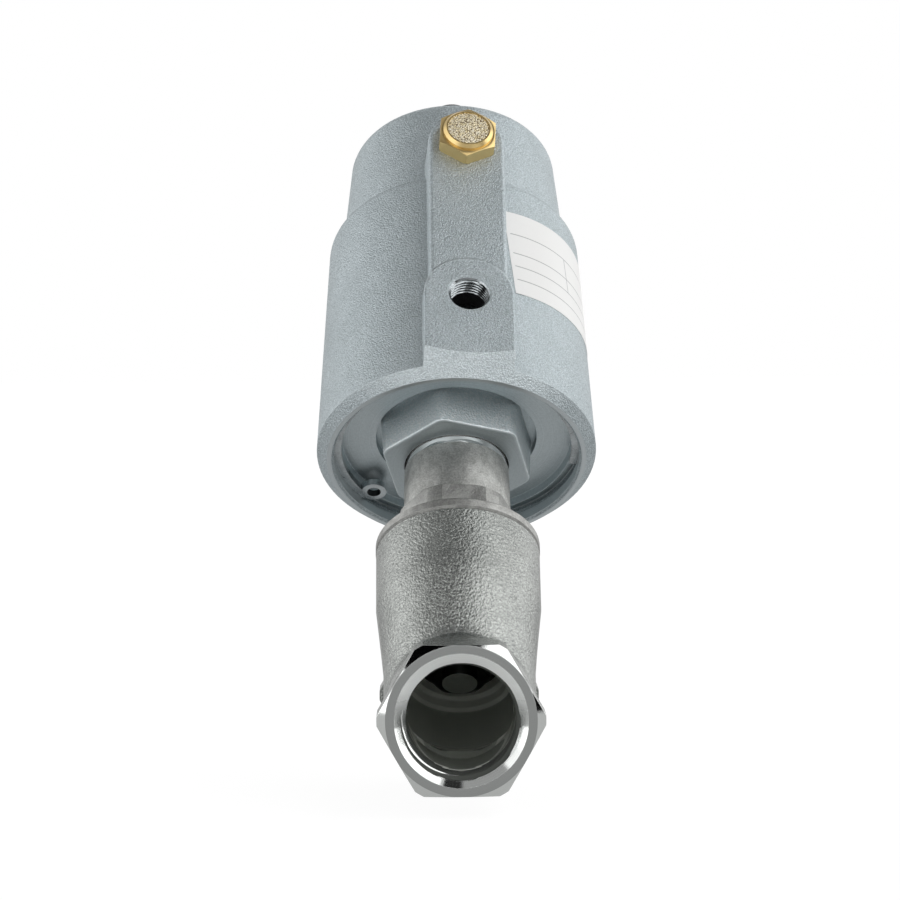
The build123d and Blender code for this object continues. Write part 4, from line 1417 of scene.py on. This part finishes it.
@dataclass(frozen=True)
class InsideThread:
    """A rounded pipe thread that lines a bore.

    Attributes:
        port: axis of the bore.
        start: distance of the outer end along that axis, in millimetres.
        length: length of the thread.
        form: the thread's sizes.
        wall: how far the lining reaches into the bore's wall.
        columns: points around.
        rows_a_turn: rows to one pitch.
    """

    port: PortFrame
    start: float
    length: float
    form: ThreadForm
    wall: float = 0.02
    columns: int = 144
    rows_a_turn: int = 14

    def build(self, name: str) -> bpy.types.Object:
        """Build the lining as one closed ring.

        Formula: the radius is the crest plus the thread's depth times a
        rounded wave of (depth / pitch - angle / turn), and never less than
        a 45 degree cone that runs in from the mouth. The outer wall is a
        cylinder just inside the bore's wall.

        Args:
            name: the piece's name.

        Returns:
            The new piece.
        """
        root, crest, pitch = self.form.root, self.form.crest, self.form.pitch
        rows = int(self.length / pitch * self.rows_a_turn) + 1
        depth = np.linspace(0.0, self.length, rows)[:, None]
        angle = np.linspace(0.0, 2 * np.pi, self.columns, endpoint=False)[None, :]
        phase = 2 * np.pi * (depth / pitch - angle / (2 * np.pi))
        wave = 0.5 - 0.5 * np.cos(phase + 0.12 * np.sin(2 * phase))
        wave = np.clip((wave - 0.5) * 1.16 + 0.5, 0.0, 1.0)
        radius = np.maximum(crest + (root - crest) * wave, root - depth)
        inner = self.port.points(self.start - depth, np.minimum(radius, root - 0.002), angle)
        outer_depth = np.array((self.length, 0.0))[:, None]
        outer = self.port.points(self.start - outer_depth, root + self.wall + 0 * angle, angle)
        return surface(name, np.concatenate((inner, outer)), caps=False, wrap=True)


@dataclass(frozen=True)
class Coil:
    """A round-wire compression spring with closed ends.

    Attributes:
        low: height of its lower end along the stem, in millimetres.
        high: height of its upper end.
        mean: mean radius of the coil.
        wire: radius of the wire.
        turns: number of turns.
        closed: turns that lie closed at each end.
        steps_a_turn: rings of points to one turn.
        blur: half the steps over which the pitch changes.
        sides: points round the wire.
    """

    low: float
    high: float
    mean: float
    wire: float
    turns: float
    closed: float = 0.9
    steps_a_turn: int = 48
    blur: int = 7
    sides: int = 16

    def build(self, name: str) -> bpy.types.Object:
        """Build the spring as a tube about a helix.

        Formula: the angle runs through the turns at an even rate; the height
        rises by one wire's width for each closed turn and evenly between, and
        the tube's circle lies in the plane of the radius and the axis.

        Args:
            name: the piece's name.

        Returns:
            The new piece.
        """
        steps = int(self.turns * self.steps_a_turn) + 1
        turn = np.linspace(0.0, self.turns, steps)
        bottom, top = self.low + self.wire, self.high - self.wire
        shut = 2.02 * self.wire * self.closed
        knots = (0.0, self.closed, self.turns - self.closed, self.turns)
        height = np.interp(turn, knots, (bottom, bottom + shut, top - shut, top))
        kernel = np.hanning(2 * self.blur + 1)
        padded = np.pad(height, self.blur, mode="edge")
        height = np.convolve(padded, kernel / kernel.sum(), mode="valid")
        around = np.linspace(0.0, 2 * np.pi, self.sides, endpoint=False)[None, :]
        radius = self.mean + self.wire * np.cos(around)
        rise = np.clip(height[:, None] + self.wire * np.sin(around), self.low, self.high)
        return surface(name, STEM.points(rise, radius, 2 * np.pi * turn[:, None]))


@dataclass(frozen=True)
class LabelPatch:
    """A thin film laid slantwise on the housing's tapering skin.

    Attributes:
        start_angle: angle of the middle of its left edge, in degrees.
        middle: height of its left edge's middle along the stem.
        width: its width along the skin.
        height: its height.
        tilt: how much it rises to the right, in degrees.
        proud: thickness of the film.
        lift: gap between the film and the skin.
        skin_top: height of the skin's upper end along the stem.
        skin_length: length of the skin along the stem.
        skin_radii: radii of its upper and lower end.
        columns: points across the film.
        rows: points up the film.
    """

    start_angle: float = 24.4
    middle: float = 110.3
    width: float = LABEL_WIDTH
    height: float = LABEL_HEIGHT
    tilt: float = 5.0
    proud: float = 0.06
    lift: float = 0.004
    skin_top: float = 134.5
    skin_length: float = 62.1
    skin_radii: tuple[float, float] = (30.35, 33.1)
    columns: int = 97
    rows: int = 33

    def skin_radius(self, height: np.ndarray) -> np.ndarray:
        """Give the housing's radius at a height, a straight taper."""
        upper, lower = self.skin_radii
        return upper + (self.skin_top - height) * (lower - upper) / self.skin_length

    def build(self, name: str) -> bpy.types.Object:
        """Build the film as two parallel grids joined round their edge.

        Formula: a point at (across, up) on the flat label is turned by the
        tilt; its angle is the start plus the turned distance over the skin's
        radius, and its radius the skin's at its height, plus the thickness on
        the outer grid. The map holds across and up from 0 to 1.

        Args:
            name: the piece's name.

        Returns:
            The new piece.
        """
        across = np.linspace(0.0, 1.0, self.columns)[None, :]
        up = np.linspace(0.0, 1.0, self.rows)[:, None]
        across, up = np.broadcast_arrays(across, up)
        slope = math.radians(self.tilt)
        run = across * self.width
        lift = (up - 0.5) * self.height
        height = self.middle + lift * math.cos(slope) + run * math.sin(slope)
        turned = run * math.cos(slope) - lift * math.sin(slope)
        angle = math.radians(self.start_angle) + turned / self.skin_radius(np.array(self.middle))
        outer = STEM.points(height, self.skin_radius(height) + self.proud, angle)
        inner = STEM.points(height, self.skin_radius(height) + self.lift, angle)
        rows, columns = across.shape
        index = np.arange(rows * columns).reshape(rows, columns)
        quads = np.stack((index[:-1, :-1], index[:-1, 1:], index[1:, 1:], index[1:, :-1]), axis=-1)
        quads = quads.reshape(-1, 4)
        count = rows * columns
        edge = np.concatenate((index[0, :-1], index[:-1, -1], index[-1, :0:-1], index[:0:-1, 0]))
        rim = np.stack((edge, np.roll(edge, -1), np.roll(edge, -1) + count, edge + count), axis=-1)
        points = np.concatenate((outer.reshape(-1, 3), inner.reshape(-1, 3)))
        faces = np.concatenate((quads, quads[:, ::-1] + count, rim[:, ::-1]))
        mesh = bpy.data.meshes.new(name)
        mesh.from_pydata(points.tolist(), [], faces.tolist())
        flat = np.tile(np.stack((across.ravel(), up.ravel()), axis=-1), (2, 1))
        corners = np.empty(len(mesh.loops), dtype=np.int32)
        mesh.loops.foreach_get("vertex_index", corners)
        layer = mesh.uv_layers.new(name="film")
        layer.data.foreach_set("uv", flat[corners].ravel())
        return settle(name, mesh)


@dataclass(frozen=True)
class GrainDisc:
    """The silencer's porous disc, a low dome of sintered grains.

    Attributes:
        port: axis of the silencer, from the stem's axis outward.
        base: depth coordinate of the disc's underside.
        top: depth coordinate of its rim.
        radius: its radius.
        crown: how far its middle stands above the rim.
        bump: height of the grains.
        waves: number of crossed waves that make the grain.
        seed: seed of the waves.
        rings: rings of points from the rim to the middle.
        columns: points around.
    """

    port: PortFrame
    base: float
    top: float
    radius: float
    crown: float = 0.12
    bump: float = 0.07
    waves: int = 8
    seed: int = 7
    rings: int = 46
    columns: int = 128

    def build(self, name: str) -> bpy.types.Object:
        """Build the disc as a dome of rings over a short wall.

        Formula: the top is the rim's depth plus a dome that falls with the
        square of the radius, plus a grain made of crossed waves.

        Args:
            name: the piece's name.

        Returns:
            The new piece.
        """
        reach = np.linspace(1.0, 0.02, self.rings)[:, None]
        angle = np.linspace(0.0, 2 * np.pi, self.columns, endpoint=False)[None, :]
        radius = self.radius * reach + 0.0 * angle
        right, up = radius * np.cos(angle), radius * np.sin(angle)
        seeds = np.random.default_rng(self.seed)
        turns = seeds.uniform(0.0, 2 * np.pi, self.waves)
        rates = seeds.uniform(7.0, 11.0, self.waves)
        phases = seeds.uniform(0.0, 2 * np.pi, self.waves)
        crossed = zip(rates, turns, phases)
        grain = sum(np.sin(w * (right * np.cos(t) + up * np.sin(t)) + p) for w, t, p in crossed) / self.waves
        depth = self.top + self.crown * (1.0 - reach**2) + self.bump * grain * (reach < 0.97)
        dome = self.port.points(depth, radius, angle)
        ends = np.array((self.base, self.top - 0.1))[:, None]
        wall = self.port.points(ends, self.radius + 0 * angle, angle)
        return surface(name, np.concatenate((wall, dome)))


@dataclass(frozen=True)
class Casings:
    """Smooth copies of the solids that the eye meets.

    Attributes:
        copies: name, body and slot of each solid.
    """

    copies: tuple[tuple[str, Body, Slot], ...] = (
        ("valve_body", Body.VALVE, Slot.CAST_STAINLESS),
        ("bonnet", Body.VALVE, Slot.TURNED_STAINLESS),
        ("end_cover", Body.VALVE, Slot.COVER_ALUMINIUM),
        ("actuator_housing", Body.HOUSING, Slot.CAST_ALUMINIUM),
        ("snap_ring", Body.HOUSING, Slot.SPRING_STEEL),
        ("silencer_body", Body.HOUSING, Slot.BRASS),
        ("sight_cap", Body.HOUSING, Slot.SMOKED_PLASTIC),
        ("valve_disc", Body.STEM, Slot.TURNED_STAINLESS),
        ("disc_washer", Body.STEM, Slot.TURNED_STAINLESS),
        ("disc_nut", Body.STEM, Slot.TURNED_STAINLESS),
    )

    def axles(self, node: str) -> tuple[Axle, ...]:
        """Name the axes about which a solid was turned, the nearest to its skin first.

        Args:
            node: the solid's name.

        Returns:
            The axes.
        """
        stem = Axle(STEM.crossing, STEM.along)
        air, exhaust = (Axle(port.origin, port.along) for port in (AIR_PORT, SILENCER))
        eye = STEM.points(np.array(0.0), np.array(EYE_REACH), np.array(EYE_ANGLE)) / MM
        special = {
            "valve_body": (Axle(INLET.origin, INLET.along), stem),
            "actuator_housing": (stem, air, exhaust),
            "silencer_body": (exhaust,),
            "snap_ring": (stem, Axle(eye, STEM.along)),
        }
        return special.get(node, (stem,))

    def build(self) -> None:
        """Lay each copy over its solid and dress it."""
        special = {"bonnet": BONNET_FINISH, "snap_ring": RING_FINISH}
        special |= {node: INNER_SHADE_FINISH for node in ("valve_disc", "disc_washer", "disc_nut")}
        for node, body, slot in self.copies:
            install(smooth_copy(node, self.axles(node)), body, slot, special.get(node), node)


@dataclass(frozen=True)
class PortThreads:
    """Threads of the two pipe ends and of the air port.

    Attributes:
        inlet: the inlet's thread.
        outlet: the outlet's thread, short enough for the lifted disc.
        air: the air port's thread.
    """

    inlet: InsideThread = InsideThread(INLET, 0.0, 14.5, PIPE_THREAD)
    outlet: InsideThread = InsideThread(OUTLET, 0.0, 9.07, PIPE_THREAD)
    air: InsideThread = InsideThread(AIR_PORT, SPOT_FACE, 4.9, AIR_THREAD, columns=96, rows_a_turn=12)

    def build(self) -> None:
        """Build the three linings."""
        install(self.inlet.build("inlet_thread"), Body.VALVE, Slot.CAST_STAINLESS, THREAD_FINISH)
        install(self.outlet.build("outlet_thread"), Body.VALVE, Slot.CAST_STAINLESS, THREAD_FINISH)
        install(self.air.build("air_port_thread"), Body.HOUSING, Slot.CAST_ALUMINIUM, CUT_FINISH)


@dataclass(frozen=True)
class Springs:
    """The two return springs and the spring of the stem's packing.

    Attributes:
        outer: the outer return spring.
        inner: the inner return spring.
        packing: the packing's spring.
        stroke: travel of the stem, in millimetres; not used.
    """

    outer: Coil = Coil(103.0, 159.0, 16.5, 1.7, 6.0)
    inner: Coil = Coil(103.0, 159.0, 10.6, 1.1, 8.0)
    packing: Coil = Coil(43.5, 52.5, 6.815, 0.8, 4.0)
    stroke: float = 10.0

    def build(self) -> None:
        """Build the springs, and give each return spring a mesh of its own."""
        axis = tuple(map(float, STEM.along))
        for coil, node in ((self.outer, "outer_return_spring"), (self.inner, "inner_return_spring")):
            piece = install(coil.build(f"{node}_wire"), Body.HOUSING, Slot.SPRING_STEEL, stands_for=node)
            STEM.at(coil.high)
            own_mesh(piece)
        packing = self.packing.build("packing_spring_wire")
        install(packing, Body.VALVE, Slot.SPRING_STEEL, stands_for="packing_spring")


@dataclass(frozen=True)
class SkinDetails:
    """The label and the silencer's porous disc.

    Attributes:
        label: the label's film.
        grains: the disc, from its seat in the silencer to its rim.
    """

    label: LabelPatch = LabelPatch()
    grains: GrainDisc = GrainDisc(SILENCER, 37.8, 39.38, 4.95)

    def build(self) -> None:
        """Build both and let them stand for their solids."""
        install(self.label.build("label_patch"), Body.HOUSING, Slot.LABEL_FILM, stands_for="label")
        grains = self.grains.build("silencer_grains")
        install(grains, Body.HOUSING, Slot.SINTERED_BRONZE, stands_for="silencer_element")


def dress_solids() -> None:
    """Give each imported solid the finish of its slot."""
    for entry in frame["record"]["subparts"]:
        node = frame["nodes"][entry["node"]]
        finish = FINISHES[Slot(entry["material_slot"])]
        node.data.materials.clear()
        node.data.materials.append(finish.material())
        log.info("solid %s wears %s", entry["node"], finish.name)


# Studio


@dataclass(frozen=True)
class Panel:
    """A panel of light along the pipe, seen from the valve.

    Attributes:
        start: turn about +Y at which it starts, from +X towards +Z, in degrees.
        end: turn at which it ends.
        soft: half the width of its edges.
        level: its brightness.
    """

    start: float
    end: float
    soft: float
    level: float


@dataclass(frozen=True)
class Studio:
    """Camera, floor and the light round the valve.

    Attributes:
        eye: the camera's place, in millimetres.
        yaw: turn to the right of +Y, in degrees.
        pitch: tilt downwards, in degrees.
        roll: roll to the right, in degrees.
        lens: focal length, in millimetres.
        sensor: width of the sensor, in millimetres.
        clip: nearest and farthest distance that the camera sees, in metres.
        floor_level: height of the floor, in metres.
        floor_reach: half the floor's size, in metres.
        floor_paint: its colour in plain light.
        floor_mirrored: its brightness in mirror images, and how far that replaces the paint.
        floor_seen: its brightness to the camera, and how far that replaces the rest.
        panels: the panels round the valve.
        dark: brightness between the panels.
    """

    eye: tuple[float, float, float] = (-6.65, -865.20, 87.6)
    yaw: float = 0.31
    pitch: float = 1.91
    roll: float = 0.48
    lens: float = 160.02
    sensor: float = 36.0
    clip: tuple[float, float] = (0.02, 60.0)
    floor_level: float = -0.0214
    floor_reach: float = 6.0
    floor_paint: Colour = (0.86, 0.86, 0.86)
    floor_mirrored: tuple[float, float] = (0.45, 0.6)
    floor_seen: tuple[float, float] = (1.06, 0.88)
    panels: tuple[Panel, ...] = (
        Panel(-40.0, 0.0, 2.0, 1.1),
        Panel(0.0, 30.0, 2.0, 2.0),
        Panel(50.0, 69.0, 2.0, 1.62),
        Panel(70.4, 71.4, 0.4, 1.0),
        Panel(90.0, 138.0, 2.5, 0.35),
        Panel(138.0, 160.0, 2.5, 1.25),
        Panel(160.0, 190.0, 3.0, 1.90),
        Panel(-190.0, -40.0, 4.0, 1.0),
    )
    dark: float = 0.03

    def camera(self) -> None:
        """Set the camera where the photograph was taken from."""
        yaw, pitch, roll = (math.radians(v) for v in (self.yaw, self.pitch, self.roll))
        forward = Vector((math.sin(yaw) * math.cos(pitch), math.cos(yaw) * math.cos(pitch), -math.sin(pitch)))
        level = Vector((math.cos(yaw), -math.sin(yaw), 0.0))
        drop = forward.cross(level)
        right = level * math.cos(roll) + drop * math.sin(roll)
        down = drop * math.cos(roll) - level * math.sin(roll)
        data = bpy.data.cameras.new("camera")
        data.lens, data.sensor_width, data.sensor_fit = self.lens, self.sensor, "HORIZONTAL"
        data.clip_start, data.clip_end = self.clip
        camera = bpy.data.objects.new("camera", data)
        turn = Matrix((right, -down, -forward)).transposed()
        camera.matrix_world = Matrix.Translation(Vector(self.eye) * MM) @ turn.to_4x4()
        bpy.context.scene.collection.objects.link(camera)
        bpy.context.scene.camera = camera

    def world(self) -> None:
        """Light the valve from soft panels round the pipe's direction.

        The level of each direction comes from its turn about the Y axis: the
        panels, one of which is bright only towards the camera's side, with
        gaps low on the right and overhead. Behind the valve is a wall that is
        darker on its right, and before it a bright one with a grey patch
        where the camera stands.
        """
        world = bpy.data.worlds.new("studio")
        bpy.context.scene.world = world
        world.use_nodes = True
        sheet = Sheet(world.node_tree)
        way = sheet.node("ShaderNodeTexCoord", output="Generated")
        east, north, rise = (sheet.along(way, axis) for axis in (RIGHT, AHEAD, UP))
        turn = rise.math("ARCTAN2", east) * (180.0 / math.pi)
        level = turn.within(30.0, 50.0, 2.0) * (north.step(0.10, 0.02) * 1.4 + 0.45) + self.dark
        for panel in self.panels:
            level = level + turn.within(panel.start, panel.end, panel.soft) * panel.level
        gaps = turn.within(-14.0, 16.0, 2.0) + turn.within(96.0, 142.0, 2.0)
        level = level * (1.0 - north.step(-0.30, -0.42) * gaps)
        wall = east.step(-0.30, -0.10) * 0.42 - east.step(0.10, 0.30) * 0.15 + 0.58
        level = level.where(north.step(0.50, 0.75), wall)
        level = level.where(north.step(-0.72, -0.82), rise.step(0.05, 0.25) * 0.6 + 1.5)
        level = level.where(north.step(-0.90, -0.94), 0.26)
        level = level.where(sheet.node("ShaderNodeLightPath", output="Is Camera Ray"), 1.0)
        shade = sheet.node("ShaderNodeBackground", {}, {"Color": (1.0, 1.0, 1.0, 1.0), "Strength": level})
        sheet.show("ShaderNodeOutputWorld", shade)
        world.cycles.sampling_method = "MANUAL"
        world.cycles.sample_map_resolution = 1024

    def floor(self) -> None:
        """Lay a plain white floor that keeps the valve's shadow."""
        mesh = bpy.data.meshes.new("floor")
        reach, level = self.floor_reach, self.floor_level
        signs = ((-1, -1), (1, -1), (1, 1), (-1, 1))
        corners = [(reach * across, reach * along, level) for across, along in signs]
        mesh.from_pydata(corners, [], [(0, 1, 2, 3)])
        piece = bpy.data.objects.new("floor", mesh)
        bpy.context.scene.collection.objects.link(piece)
        material = bpy.data.materials.new("floor")
        material.use_nodes = True
        sheet = Sheet(material.node_tree)
        paint = sheet.node("ShaderNodeBsdfDiffuse", {}, {"Color": self.floor_paint})
        kinds = ("Camera", "Glossy", "Transmission")
        seen, mirrored, clear = (sheet.node("ShaderNodeLightPath", output=f"Is {kind} Ray") for kind in kinds)
        shade = paint
        for ray, (strength, share) in ((mirrored.most(clear), self.floor_mirrored), (seen, self.floor_seen)):
            glow = sheet.node("ShaderNodeEmission", {}, {"Color": (1.0, 1.0, 1.0), "Strength": strength})
            shade = sheet.node("ShaderNodeMixShader", {}, {0: ray * share, 1: shade, 2: glow})
        sheet.show("ShaderNodeOutputMaterial", shade)
        mesh.materials.append(material)

    def build(self) -> None:
        """Set up the camera, the light and the floor."""
        bpy.context.scene.view_settings.view_transform = "Standard"
        self.camera()
        self.world()
        self.floor()


def main() -> None:
    """Build the looks in order."""
    logging.basicConfig(level=logging.INFO, format="%(name)s: %(message)s")
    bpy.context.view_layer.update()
    dress_solids()
    for part in (Casings(), PortThreads(), Springs(), SkinDetails(), Studio()):
        part.build()


if __name__ == "__main__":
    main()
